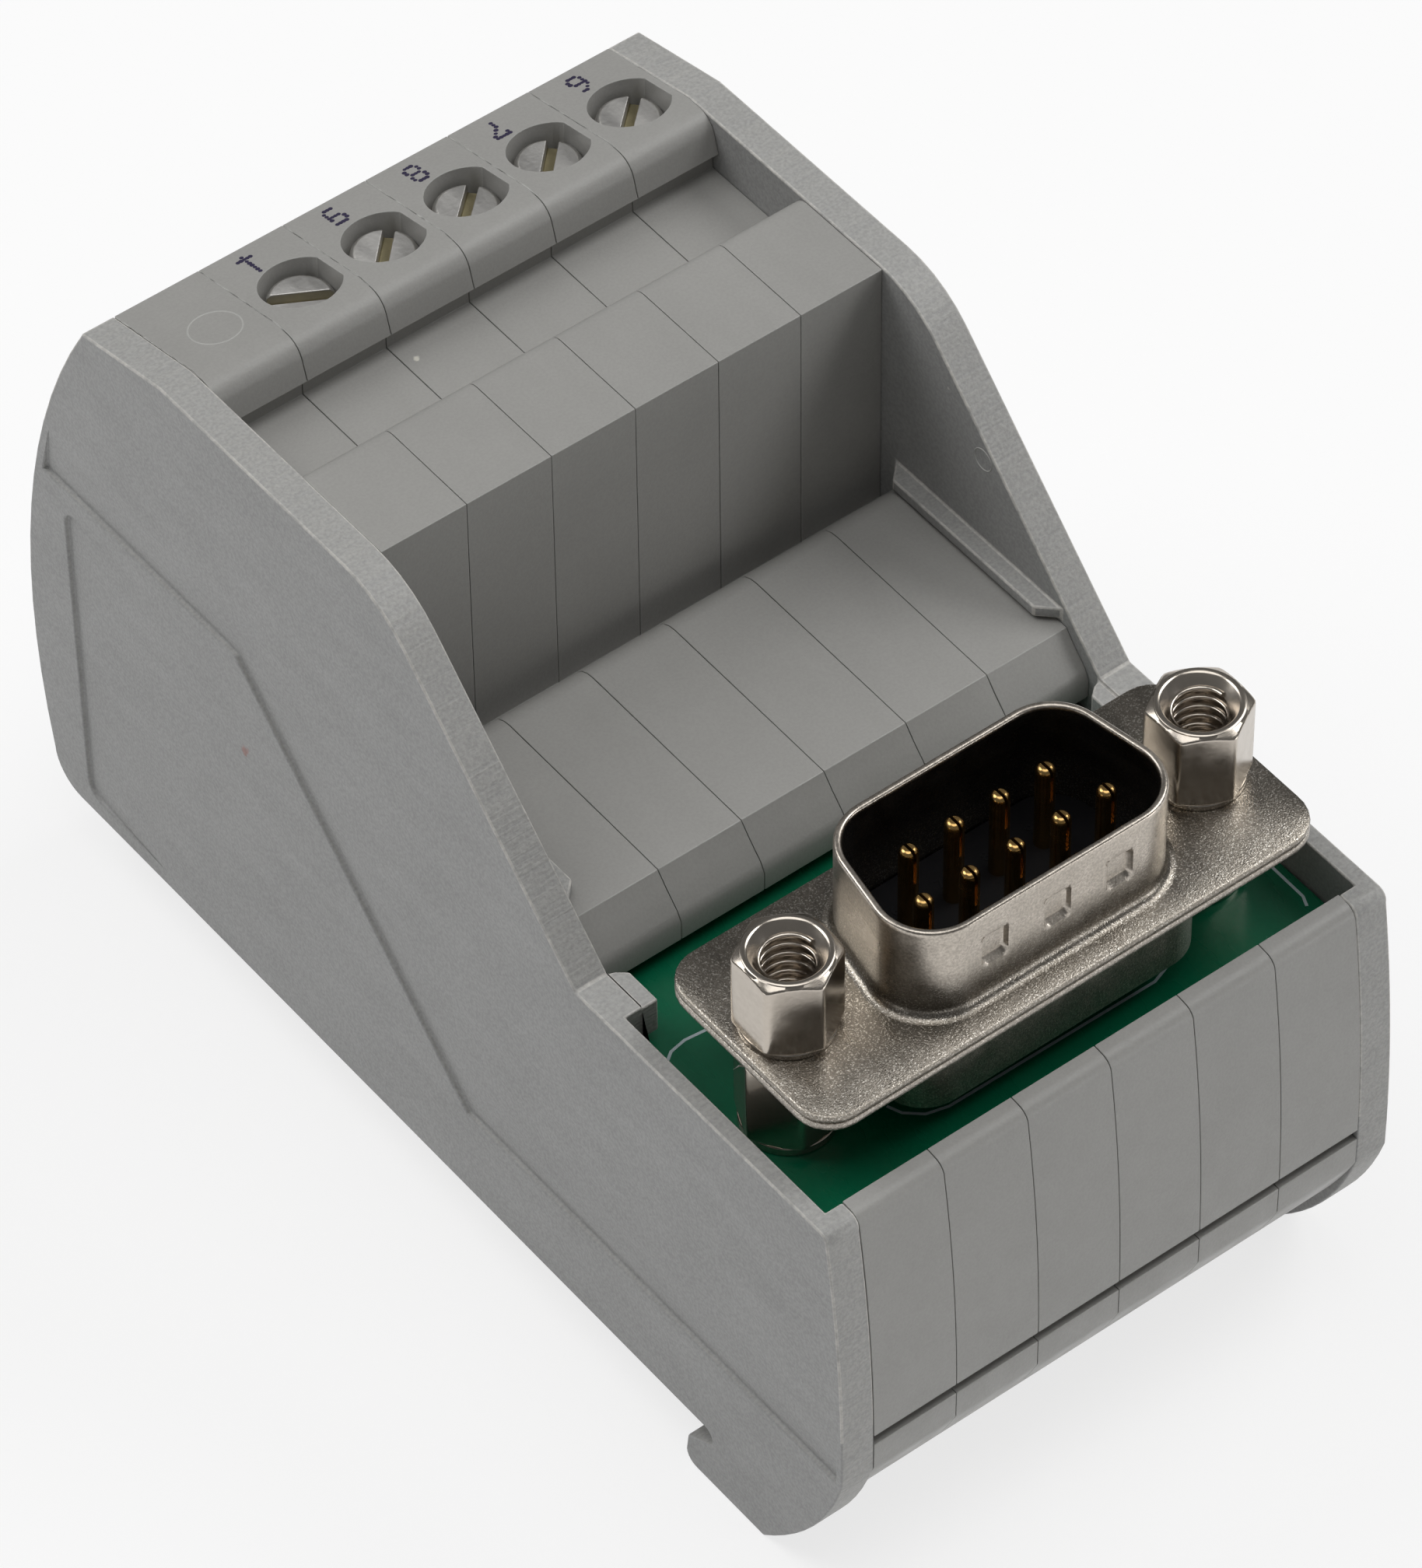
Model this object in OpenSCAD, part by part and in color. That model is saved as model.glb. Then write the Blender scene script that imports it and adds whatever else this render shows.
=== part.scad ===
/* [Housing] */
// Pitch of the housing slices
pitch = 5.08; // [5.04:0.01:5.3]
// Gap at each seam between slices
seam = 0.04; // [0.02:0.01:0.08]
// Thickness of a side plate
plate_t = 1.96; // [1.7:0.02:2.6]
// Overall height above the sole
height = 43.05; // [42:0.05:47]
// Height of the slices' floor in front of the ridge
floor_h = 29.55; // [29:0.05:31]
// Distance from the floor down to the front wall's top
front_drop = 1.6; // [1:0.05:2]
// Angle of the side plates' sloping edge
slope_angle = 45.5; // [42:0.5:48]
// Thickness of the front wall at its top
front_wall = 2.5; // [2.2:0.1:2.8]
// Depth of the well that the connector stands in
well_d = 18.7; // [18.2:0.1:20]
// Depth of the floor behind the well
floor_d = 15.1; // [14.5:0.1:16.5]
// Depth of the gap behind the floor
gap_d = 1.25; // [0.8:0.05:1.5]
// Depth of the ridge
ridge_d = 6.8; // [6:0.1:8]
// Depth of the marker channel behind the ridge
channel_d = 6.15; // [5.5:0.05:7]
// Depth of the marker channel below the top
channel_h = 3.35; // [2:0.05:4]
// Depth of the upper terminal block, front to back
upper_d = 9; // [8.8:0.1:10]
// Depth of the lower terminal tier behind it
lower_d = 6.25; // [6:0.05:7]
// Drop of the tilted top towards the back
tilt_drop = 1.5; // [0:0.1:2.5]
// Distance from the floor down to the lower terminal tier
lower_drop = 1.5; // [1:0.05:2.5]

/* [Rail] */
// Width of the rail
rail_w = 35; // [34.8:0.1:35.2]
// Thickness of the rail's edge
rail_t = 1; // [0.8:0.1:1.2]
// Height of the rail's seat above the sole
seat_h = 4.03; // [3.7:0.01:4.6]
// Distance from the front to the rail's front edge
rail_front = 10.2; // [9.8:0.1:11]
// Width of the rail latch
latch_w = 8; // [7:0.1:9]
// Thickness of the rail latch in its guide
latch_t = 1.6; // [1.2:0.1:2]
// Travel of the rail latch
latch_travel = 2.5; // [2:0.1:3]

/* [Board] */
// Distance from the floor down to the board's upper face
board_drop = 4.52; // [4.3:0.01:4.8]
// Thickness of the board
board_t = 1.6; // [1.2:0.1:2]

/* [Connector] */
// Distance from the front to the connector's middle
conn_front = 10; // [9.6:0.1:10.6]
// Height of the flange above the board
flange_lift = 6; // [5:0.1:7]
// Distance from a jackscrew's axis to the flange's end
flange_end = 2.905; // [2.8:0.005:3]
// Depth of the flange
flange_d = 12.5; // [12.2:0.1:13]
// Thickness of one shell's sheet
sheet_t = 0.5; // [0.4:0.05:0.6]
// Distance between the two jackscrews
jack_pitch = 24.99; // [24.7:0.01:25.3]
// Distance from a jackscrew's axis to the plug shell
shell_side = 3.635; // [3.5:0.005:3.7]
// Depth of the plug shell
shell_d = 9.16; // [8.9:0.01:9.4]
// Height of the plug shell above the flange
shell_h = 5.9; // [5.4:0.1:6.4]
// Wall of the plug shell
shell_wall = 0.4; // [0.3:0.05:0.5]
// Distance from the plug shell's end to the first contact
contact_side = 3.32; // [3.2:0.01:3.5]
// Distance between the two rows of contacts
row_gap = 2.84; // [2.7:0.01:2.9]
// Diameter of a contact
contact_dia = 1; // [0.9:0.01:1.05]
// Height of a contact's tip above the flange
contact_h = 5.1; // [4.6:0.1:5.4]

/* [Jackscrews] */
// Width across the flats of the hexagons
hex_af = 4.76; // [4.5:0.01:5.1]
// Height of a jackscrew's hexagon above the flange
jack_h = 5.12; // [4.6:0.02:5.6]
// Radius of the jackscrew's threaded bore
thread_r = 1.42; // [1.35:0.01:1.5]
// Depth of the jackscrew's threaded bore
thread_depth = 4.4; // [3.8:0.1:4.6]

/* [Terminals] */
// Diameter of the screw access holes
access_dia = 4.25; // [4:0.05:4.4]
// Sideways offset of a terminal in its slice
access_dx = 0.29; // [0.2:0.01:0.35]
// Distance from the upper block's front to its screw axis
upper_screw = 4.35; // [4.3:0.05:4.6]
// Distance from the upper block's back to the lower screw axis
lower_screw = 2.75; // [2.7:0.05:2.9]
// Depth of a screw's head below the top
head_sink = 1; // [0.6:0.1:1.4]
// Diameter of a screw's head
head_dia = 3.5; // [3.2:0.1:3.7]
// Height of a screw's head
head_h = 1.5; // [1.2:0.1:1.8]
// Diameter of a screw's shank
shank_dia = 2.5; // [2.2:0.1:2.6]
// Width of a clamp cage
cage_w = 3.4; // [3.2:0.05:3.45]
// Depth of a clamp cage, front to back
cage_d = 4.2; // [4:0.1:4.3]
// Travel of a clamp cage
cage_travel = 2.2; // [1.8:0.1:2.3]
// Opening for the wire when the cage is down
wire_gap = 3; // [2.8:0.1:3.2]
// Diameter of the wire entries
wire_dia = 2.6; // [2.2:0.1:2.7]

/* [Hidden] */
slice_count = 6;
first_terminal = 2;

eps = 0.01;
over = 1;
$fn = 48;

// The side plates reach a little behind the slices
back_rim = 0.85;
depth = front_wall + well_d + floor_d + gap_d + ridge_d + channel_d + upper_d + lower_d + back_rim;
front_y = -depth/2;
back_y = depth/2;
inner_x = slice_count*pitch/2;
slice_w = pitch - seam;

// Heights that go with the floor's
front_h = floor_h - front_drop;
lower_h = floor_h - lower_drop;
board_z = floor_h - board_drop;

// The front wall and the low front of the foot
knee = [front_y + 0.01, 10.13];
front_top = [front_y + 1.2, front_h];
lip_r = 0.8;
lip_low = front_top - [0.03, lip_r];
plate_lip_r = 0.6;
shoulder_r = 6.5;
sole_r = 0.8;
sole_front = front_y + 6.15;
sole_back = front_y + 12.3;
foot_bulge = 0.85;
front_bulge = 0.35;
slice_rise = 0.55;
groove_z = [11.93, 12.6];
groove_depth = 1.5;

// The rail's hook
rail_y = front_y + rail_front;
hook_r = 0.62;
hook_end = [rail_y + hook_r, seat_h - hook_r];
hook_tip_r = 0.15;
hook_tip = [sole_back - hook_tip_r, seat_h - 2.05];
hook_slant = 239.7;

// The back of the side plates
back_corner_r = 2.15;
back_corner = [back_y - back_rim - back_corner_r, seat_h + back_corner_r];
back_bulge = 3.24;

// Places along the depth, each from the one before
well_front = front_y + front_wall;
well_back = well_front + well_d;
floor_back = well_back + floor_d;
ridge_front = floor_back + gap_d;
ridge_back = ridge_front + ridge_d;
upper_front = ridge_back + channel_d;
upper_back = upper_front + upper_d;
lip_under = 0.48;
crease_y = upper_front + 2.4;
lower_back = back_y - back_rim;

// Heights
ridge_z = height - 0.1;
ridge_r = 0.9;
channel_z = height - channel_h;
lip_z = channel_z + 1.25;
lip_lean = 0.6;
upper_r = 1.2;
wall_z = floor_h - 3.5;
floor_nose = [[0, -2.3], [0.3, -1.7], [1.15, -0.8], [1.8, 0]];
floor_rise = 0.15;
floor_r = 1.6;
floor_gap_h = 2.6;
lower_slope = [0.95, 3.85];
lower_corner_r = 1.6;
cavity_z = seat_h + 4.5;
cavity_front = well_front + 0.87;
cavity_back = upper_front + 0.6;
board_back = cavity_back + 0.6;
board_gap = 0.08;
board_side = 0.1;
shelf_z = board_z - board_t - board_gap/2;
slope_foot = [well_back - 0.8, front_h];

// Pegs that locate each slice in the next
peg_r = 1.2;
peg_l = 0.9;
peg_clear = 0.05;
peg_room = 0.2;
pegs = [
    [sole_back + 4, seat_h + 2.2],
    [ridge_front + ridge_d/2, height - 7],
    [cavity_back + 4, cavity_z + 3]
];

// Side plates' inner features
pocket_depth = 1;
pocket_back = well_back - 3.5;
lug_w = 0.95;
lug_d = 2.8;
lug_lift = 0.6;
lug_nose = [0.4, 0.15];
lug_flat = 0.6;
rib_w = 1;
rib_h = 0.7;
rib_lift = 0.25;
rib_front = well_back + 2.2;
rib_back = floor_back + 0.1;

// Sunk band on the plates' outer faces: its lower edge from the front to the back
band_depth = 0.3;
band_w = 3.6;
band_slope = 45;
band_low = seat_h + 6;
band_high = height - 14.87;
band_front = front_y + 0.5;
band_knee = [band_front + 29.3, band_low];
band_bend = band_knee + (band_high - band_low)*[1/tan(band_slope), 1];
band_back = [back_y - 2.3, band_high];
band_miter = band_w*[-tan(band_slope/2), 1];
band_lean = 0.8;

// Sunk panel below the band, deepest at its back edge
panel_depth = 0.25;
panel = [[back_y - 10.9, seat_h + 1.2], [back_y - 3.9, band_high - 1.6]];
panel_r = 1;

// The rail latch
latch_clear = 0.15;
latch_z = seat_h + 1.3;
latch_neck = latch_w/2 - 1.1;
rail_back = rail_y + rail_w;
latch_nose = 1.2;
latch_foot_d = 7;
latch_y = rail_back + 0.1;
latch_block_d = 5;
latch_spine = 1.6;
tail_d = 4;
tail_w = 6.4;
tail_slot = [3.2, 1.2];
tongue_t = 0.6;
tongue_pitch = 1.7;
tongue_gap = 0.5;
tongue_folds = 3;
latch_wide_end = latch_y + latch_block_d + tongue_folds*tongue_pitch + latch_travel + tongue_gap;
neck_top = 0.5;
tab_z = [seat_h - 2.1, seat_h - 0.25];
tab_back = 0.2;
tab_rim = 0.9;
grip_z = seat_h - rail_t - 0.1;
grip_drop = 0.3;

// Connector
conn = [0, front_y + conn_front];
flange_z = board_z + flange_lift + 2*sheet_t;
flange_w = jack_pitch + 2*flange_end;
shell_w = jack_pitch - 2*shell_side;
flange_r = 2;
flange_hole_r = 1.6;
shell_angle = 10;
shell_r = 3;
rear_side = 2.895;
rear_w = jack_pitch - 2*rear_side;
rear_d = 10.7;
rear_r = 2.4;
rear_h = 4.1;
insulator_face = -0.3;
insulator_lift = 0.4;
insulator_foot = 1.6;
foot_share = 0.36;
fit_gap = 0.06;
contact_clear = 0.02;
tail_r = 0.35;
tail_out = 1.2;
solder_hole_r = 0.5;
contacts_front = 5;
contact_pitch = (shell_w - 2*contact_side)/(contacts_front - 1);
contact_rise = 2;
contact_root = board_z + contact_rise;
contact_nose = 0.35;
contact_flat_r = 0.22;
round_fn = 24;

// Jackscrews and standoffs
hex_r = hex_af/2/cos(30);
mouth_r = 1.89;
mouth_h = 0.6;
top_ring_r = 2.25;
collar_r = 2.45;
collar_h = 0.5;
jack_collar_h = 0.36;
hex_chamfer = 0.26;
face_gap = 0.01;
stud_r = 1.4;
stud_l = 4;
foot_stud_r = 1.45;
foot_stud_out = 0.8;
stud_clear = 0.1;
jack_turn = 29;
standoff_turn = 5.5;

// Terminals: heights of a terminal's pieces below its top
seat_t = 1;
cage_start = 0.5;
bar_t = 0.8;
bar_w = 2.1;
cage_top_t = 2;
cage_floor_t = 0.8;
cage_clear = 0.2;
thread_clear = 0.05;
cage_wall = (cage_w - shank_dia)/2 - thread_clear - 0.02;
shank_room = 0.2;
bar_clear = 0.1;
slot_w = 0.6;
slot_h = 0.75;
head_chamfer = 0.25;
web = 0.42;
funnel_d = 0.3;
funnel_r = 0.35;
pin_w = 0.8;
pin_hole_r = 0.65;
pin_out = 0.75;

upper_y = upper_front + upper_screw;
upper_z = top_at(upper_y);
lower_y = upper_back + lower_screw;
lower_z = lower_h;
upper_leg_y = cavity_back - 0.9;
lower_leg_y = cavity_back - 2.9;
slot_angles = [-30, 45, 42, 45, 42];

grey = [0.57, 0.57, 0.56];
plate_grey = [0.55, 0.56, 0.57];
nickel = [0.72, 0.7, 0.66];
zinc = [0.75, 0.75, 0.73];
gold = [0.8, 0.62, 0.3];
black = [0.08, 0.08, 0.08];
green = [0.02, 0.35, 0.2];
brass = [0.75, 0.6, 0.35];

// Height of a screw's tip, and of its current bar's top, below a terminal's top
function tip_of(top) = top - head_sink - head_h - seat_t - cage_clear - cage_travel - cage_top_t - cage_start;

// Height of the slices' top at a place along the depth
function top_at(y) = y < crease_y ? height : height - tilt_drop*(y - crease_y)/(upper_back - crease_y);

// Middle of a slice across the width
function slice_x(i) = -inner_x + pitch*(i - 0.5);

// Points along an arc
function arc(c, r, a0, a1, n = 8) =
    [for (i = [0:n]) let (a = a0 + (a1 - a0)*i/n) c + r*[cos(a), sin(a)]];

// Points of a shallow bow from a to b that stands out by s on the left
function bow(a, b, s, n = 10) =
    let (
        l = norm(b - a),
        r = (l*l/4 + s*s)/(2*s),
        u = [a.y - b.y, b.x - a.x]/l,
        half = asin(l/(2*r)),
        c = (a + b)/2 + u*(s - r)
    )
    [for (i = [0:n]) let (t = half*(2*i/n - 1)) c + r*(cos(t)*u + sin(t)*(b - a)/l)];

// Points that round the corner at p, between a and b
function fillet(a, p, b, r, n = 5) =
    let (
        u = (a - p)/norm(a - p),
        v = (b - p)/norm(b - p),
        half = acos(u*v)/2,
        c = p + (u + v)/norm(u + v)*r/sin(half),
        start = p + u*r/tan(half) - c,
        a0 = atan2(start.y, start.x),
        turn = -sign(cross(u, v))*(180 - 2*half)
    )
    arc(c, r, a0, a0 + turn, n);

// A closed outline with each corner [y, z, radius] rounded
function rounded(corners) =
    let (n = len(corners))
    [for (i = [0:n - 1])
        let (
            a = corners[(i + n - 1) % n],
            p = corners[i],
            b = corners[(i + 1) % n]
        )
        each p[2] > 0
            ? fillet([a[0], a[1]], [p[0], p[1]], [b[0], b[1]], p[2])
            : [[p[0], p[1]]]
    ];

// The foot and front, from the hook's mouth round to the front wall's top
function foot_outline(rise) = concat(
    arc(hook_end, hook_r, 90, hook_slant),
    fillet(hook_end, hook_tip, [sole_back, rise], hook_tip_r),
    fillet([sole_back, hook_tip.y], [sole_back, rise], [sole_front, rise], sole_r),
    bow([sole_front + rise/2, rise], knee, foot_bulge - rise/2),
    bow(knee, lip_low, front_bulge)
);

// Side plates run on up the slope and over the top to the back
function plate_outline() =
    let (
        rise = height - slope_foot.y,
        shoulder = [slope_foot.x + rise/tan(slope_angle), height]
    )
    concat(
        foot_outline(0),
        fillet(lip_low, front_top, slope_foot, plate_lip_r),
        [slope_foot],
        fillet(slope_foot, shoulder, [crease_y, height], shoulder_r),
        [[crease_y, height]],
        bow([upper_back, top_at(upper_back)], back_corner + [back_corner_r, 0], back_bulge, 14),
        arc(back_corner, back_corner_r, 0, -90)
    );

// The slices' section: front wall, floor, ridge, channel and both terminal tiers
function slice_outline() = concat(
    foot_outline(slice_rise),
    fillet(lip_low, front_top, [well_front, front_h], lip_r),
    [[well_front, front_h + 0.05]],
    [[well_front, shelf_z]],
    [[cavity_front, shelf_z]],
    [[cavity_front, cavity_z]],
    [[cavity_back, cavity_z]],
    [[cavity_back, shelf_z]],
    [[board_back + board_gap, shelf_z]],
    [[board_back + board_gap, wall_z]],
    [[well_back, wall_z]],
    [for (p = floor_nose) [well_back, floor_h] + p],
    fillet(
        [well_back, floor_h] + floor_nose[3],
        [floor_back, floor_h + floor_rise], [floor_back, wall_z], floor_r
    ),
    [[floor_back, floor_h - floor_gap_h]],
    [[ridge_front, floor_h - floor_gap_h]],
    [[ridge_front, ridge_z]],
    fillet([ridge_front, ridge_z], [ridge_back, ridge_z], [ridge_back, channel_z], ridge_r),
    [[ridge_back, channel_z]],
    [[upper_front + lip_under, channel_z]],
    [[upper_front + lip_under, lip_z - 0.1]],
    [[upper_front, lip_z]],
    fillet([upper_front, lip_z], [upper_front + lip_lean, height], [crease_y, height], upper_r),
    [[crease_y, height]],
    [[upper_back, top_at(upper_back)]],
    [[upper_back, lower_h]],
    [[lower_back - lower_slope.x, lower_h]],
    [[lower_back, lower_h - lower_slope.y]],
    arc([lower_back, seat_h] + lower_corner_r*[-1, 1], lower_corner_r, 0, -90, 6)
);

// Extrudes an outline drawn in depth and height along the width, from x0
module across(x0, w) {
    translate([x0, 0, 0])
        rotate([90, 0, 90])
            linear_extrude(w)
                children();
}

// A box given by its two corners
module block(a, b) {
    translate(a)
        cube(b - a);
}

module peg_row(x0, l, r) {
    for (p = pegs)
        translate([x0, p.x, p.y])
            rotate([0, 90, 0])
                cylinder(h = l, r = r);
}

// One side plate, drawn as the right one: its inner face looks to -X
module side_plate() {
    face = inner_x;
    difference() {
        across(face, plate_t)
            polygon(plate_outline());
        block(
            [face - over, well_front, board_z - board_t - board_gap],
            [face + pocket_depth, pocket_back, front_h + over]
        );
        plate_band();
        plate_panel();
    }
    side_lug();
    side_rib();
}

// Wedge that cuts the outer face, deepest along the line from p to q and flat at w beside it
module wedge(p, q, w, d) {
    out = inner_x + plate_t;
    translate([0, p.x, p.y])
        rotate([atan2(q.y - p.y, q.x - p.x), 0, 0])
            rotate([90, 0, 0])
                linear_extrude(3*norm(q - p), center = true)
                    polygon([[out - d, 0], [out + over, 0], [out + over, w*(1 + over/d)]]);
}

module plate_band() {
    front = [band_front, band_low];
    path = [front, band_knee, band_bend, band_back];
    ends = [[0, band_w], band_miter, band_miter, [-band_lean, band_w]];
    for (k = [0:2])
        intersection() {
            wedge(path[k], path[k + 1], band_w, band_depth);
            across(inner_x, 2*plate_t)
                polygon([path[k], path[k + 1], path[k + 1] + 1.05*ends[k + 1], path[k] + 1.05*ends[k]]);
        }
}

module plate_panel() {
    a = panel[0];
    b = panel[1];
    intersection() {
        wedge([b.x, a.y], b, b.x - a.x, panel_depth);
        across(inner_x, 2*plate_t)
            polygon(rounded([
                [a.x - over, a.y, 0], [a.x - over, b.y, 0], [b.x, b.y, panel_r], [b.x, a.y, panel_r]
            ]));
    }
}

// Lug over the board at the back of the plate's pocket
module side_lug() {
    z0 = board_z + lug_lift;
    lug_back = pocket_back + lug_d;
    translate([0, 0, z0])
        linear_extrude(front_h - 0.1 - z0)
            polygon([
                [inner_x + eps, pocket_back],
                [inner_x + eps, lug_back],
                [inner_x - lug_nose.x, lug_back - lug_nose.y],
                [inner_x - lug_w, lug_back - lug_flat],
                [inner_x - lug_w, pocket_back]
            ]);
}

// Rib that keeps the floor down beside the ridge
module side_rib() {
    translate([0, 0, floor_h + rib_lift])
        linear_extrude(rib_h)
            polygon([
                [inner_x + eps, rib_front],
                [inner_x + eps, rib_back],
                [inner_x - rib_w, rib_back - rib_w],
                [inner_x - rib_w, rib_front + rib_w]
            ]);
}

module left_side_plate() {
    color(plate_grey) {
        mirror([1, 0, 0])
            side_plate();
        peg_row(-inner_x - eps, peg_l + eps, peg_r);
    }
}

module right_side_plate() {
    color(plate_grey)
        difference() {
            side_plate();
            peg_row(inner_x - over, peg_l + over + peg_room, peg_r + peg_clear);
        }
}

// Room for one terminal, open to the left and closed by a thin web on the right
module terminal_room(x, y, top, back, leg_y, leg_up) {
    seat = top - head_sink - head_h;
    tip = tip_of(top);
    low = tip - bar_t - wire_gap - cage_floor_t - cage_clear;
    high = seat - seat_t;
    left = x - pitch/2 - over;
    right = x + slice_w/2 - web;
    bar_right = x + access_dx + bar_w/2 + bar_clear;
    wire_z = tip - bar_t - wire_gap/2;
    leg_end = leg_up ? board_z - board_t - eps : board_z;
    intersection() {
        translate([x + access_dx, y, seat])
            cylinder(h = head_sink + head_h + over, d = access_dia);
        block([left, y - pitch, seat - over], [right, y + pitch, top + 2*over]);
    }
    translate([x + access_dx, y, high - over])
        cylinder(h = seat_t + 2*over, d = shank_dia + 2*shank_room);
    block(
        [left, y - cage_d/2 - cage_clear, low],
        [right, y + cage_d/2 + cage_clear, high]
    );
    translate([x + access_dx, y, wire_z])
        rotate([-90, 0, 0])
            cylinder(h = back - y + over, d = wire_dia);
    translate([x + access_dx, back - funnel_d, wire_z])
        rotate([-90, 0, 0])
            cylinder(h = funnel_d + eps, r1 = wire_dia/2, r2 = wire_dia/2 + funnel_r);
    block(
        [left, leg_y - bar_t/2 - bar_clear, tip - bar_t - bar_clear],
        [bar_right, y, tip + bar_clear]
    );
    block(
        [left, leg_y - bar_t/2 - bar_clear, min(tip, leg_end) - bar_t],
        [bar_right, leg_y + bar_t/2 + bar_clear, max(tip + bar_clear, leg_end)]
    );
}

// Guide of the rail latch in the two middle slices
module latch_guide() {
    half = latch_w/2 + latch_clear;
    neck = latch_neck + latch_clear;
    y0 = latch_y - latch_clear;
    spine = latch_spine + latch_clear;
    block([-half, y0, latch_z - latch_clear], [half, latch_wide_end, latch_z + latch_t + latch_clear]);
    block([-neck, y0, seat_h - over], [neck, latch_wide_end, latch_z]);
    block([-spine, y0, seat_h - over], [spine, back_y + over, latch_z + latch_t + latch_clear]);
}

module housing_slice(i) {
    x = slice_x(i);
    x0 = x - slice_w/2;
    color(grey)
        difference() {
            union() {
                across(x0, slice_w)
                    polygon(slice_outline());
                peg_row(x0 + slice_w - eps, peg_l + seam + eps, peg_r);
            }
            across(x0 - over, slice_w + 2*over)
                polygon([
                    [front_y - over, groove_z[0]],
                    [front_y + groove_depth, groove_z[0]],
                    [front_y + groove_depth, groove_z[1]],
                    [front_y - over, groove_z[1]]
                ]);
            peg_row(x0 - over, peg_l + over + peg_room, peg_r + peg_clear);
            if (i >= first_terminal) {
                terminal_room(x, upper_y, upper_z, upper_back, upper_leg_y, false);
                terminal_room(x, lower_y, lower_z, lower_back, lower_leg_y, true);
            }
            latch_guide();
        }
}

// Slotted screw whose head top lies at z
module terminal_screw(i, y, top) {
    z = top - head_sink;
    tip = tip_of(top);
    color(zinc)
        translate([slice_x(i) + access_dx, y, 0])
            difference() {
                union() {
                    translate([0, 0, z - head_h + seam/2])
                        cylinder(h = head_h - head_chamfer - seam/2, d = head_dia);
                    translate([0, 0, z - head_chamfer])
                        cylinder(h = head_chamfer, d1 = head_dia, d2 = head_dia - 2*head_chamfer);
                    translate([0, 0, tip + seam/2])
                        cylinder(h = z - head_h - tip + seam, d = shank_dia);
                }
                rotate([0, 0, slot_angles[i - first_terminal]])
                    translate([-head_dia, -slot_w/2, z - slot_h])
                        cube([2*head_dia, slot_w, slot_h + over]);
            }
}

// Clamp cage round the current bar, drawn in its lowest place
module clamp_cage(i, y, top) {
    tip = tip_of(top);
    low = tip - bar_t - wire_gap - cage_floor_t;
    high = tip + cage_start + cage_top_t;
    color(brass)
        translate([slice_x(i) + access_dx, y, 0])
            difference() {
                translate([-cage_w/2, -cage_d/2, low])
                    cube([cage_w, cage_d, high - low]);
                translate([-cage_w/2 + cage_wall, -cage_d, low + cage_floor_t])
                    cube([cage_w - 2*cage_wall, 2*cage_d, high - cage_top_t - low - cage_floor_t]);
                translate([0, 0, high - cage_top_t - over])
                    cylinder(h = cage_top_t + 2*over, d = shank_dia + 2*thread_clear);
            }
}

// Current bar from a clamp to its hole in the board
module current_bar(i, y, top, leg_y, leg_up) {
    tip = tip_of(top);
    x = slice_x(i) + access_dx;
    far = leg_up ? board_z + pin_out : board_z - board_t - pin_out;
    shoulder = leg_up ? board_z - board_t - bar_clear : board_z + bar_clear;
    color(brass) {
        block([x - bar_w/2, leg_y - bar_t/2, tip - bar_t], [x + bar_w/2, y + cage_d/2, tip]);
        block(
            [x - bar_w/2, leg_y - bar_t/2, min(tip - bar_t, shoulder)],
            [x + bar_w/2, leg_y + bar_t/2, max(tip, shoulder)]
        );
        block(
            [x - pin_w/2, leg_y - pin_w/2, min(far, shoulder)],
            [x + pin_w/2, leg_y + pin_w/2, max(far, shoulder)]
        );
    }
}

// Sliding latch with its foot, spring tongues and pull tab
module rail_latch() {
    half = latch_w/2;
    z1 = latch_z + latch_t;
    wide = latch_y + latch_block_d;
    color(grey) {
        block([-half, latch_y, latch_z], [half, wide, z1]);
        block([-latch_spine, latch_y, latch_z], [latch_spine, back_y - tail_d/2, z1]);
        block([-latch_neck, latch_y, seat_h - neck_top], [latch_neck, wide, latch_z + eps]);
        latch_foot();
        for (side = [-1, 1])
            latch_tongue(side, wide);
        latch_tab();
    }
}

// Foot that grips the rail's rear edge from below
module latch_foot() {
    across(-latch_neck, 2*latch_neck)
        polygon(rounded([
            [latch_y, seat_h, 0],
            [latch_y, grip_z, 0],
            [rail_back - latch_nose, grip_z - grip_drop, 0.2],
            [rail_back - latch_nose, grip_z - 1, 0.3],
            [rail_back + neck_top, 0, 0.5],
            [rail_back + latch_foot_d, 0, 0.8],
            [rail_back + latch_foot_d, seat_h - grip_drop, 0.5],
            [latch_y + latch_block_d, seat_h - grip_drop, 0]
        ]));
}

// Folded spring tongue beside the latch's spine
module latch_tongue(side, y0) {
    x0 = latch_spine + tongue_gap;
    x1 = latch_w/2;
    for (k = [0:tongue_folds - 1])
        mirror([side < 0 ? 1 : 0, 0, 0])
            translate([k % 2 == 0 ? x1 - tongue_t : x0, y0 + k*tongue_pitch - eps, latch_z])
                cube([tongue_t, tongue_pitch + eps, latch_t]);
    for (k = [1:tongue_folds])
        translate([side < 0 ? -x1 : x0, y0 + k*tongue_pitch - tongue_t, latch_z])
            cube([x1 - x0, tongue_t, latch_t]);
}

// Pull tab with a slot for a screwdriver's blade
module latch_tab() {
    end = back_y - tab_back;
    difference() {
        union() {
            block([-tail_w/2, end - tail_d, tab_z[0]], [tail_w/2, end, tab_z[1]]);
            block([-latch_spine, back_y - tail_d, tab_z[0]], [latch_spine, back_y - tail_d/2, latch_z + eps]);
        }
        block(
            [-tail_slot.x/2, back_y - tab_rim - tail_slot.y, tab_z[0] - over],
            [tail_slot.x/2, back_y - tab_rim, tab_z[1] + over]
        );
    }
}

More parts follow.
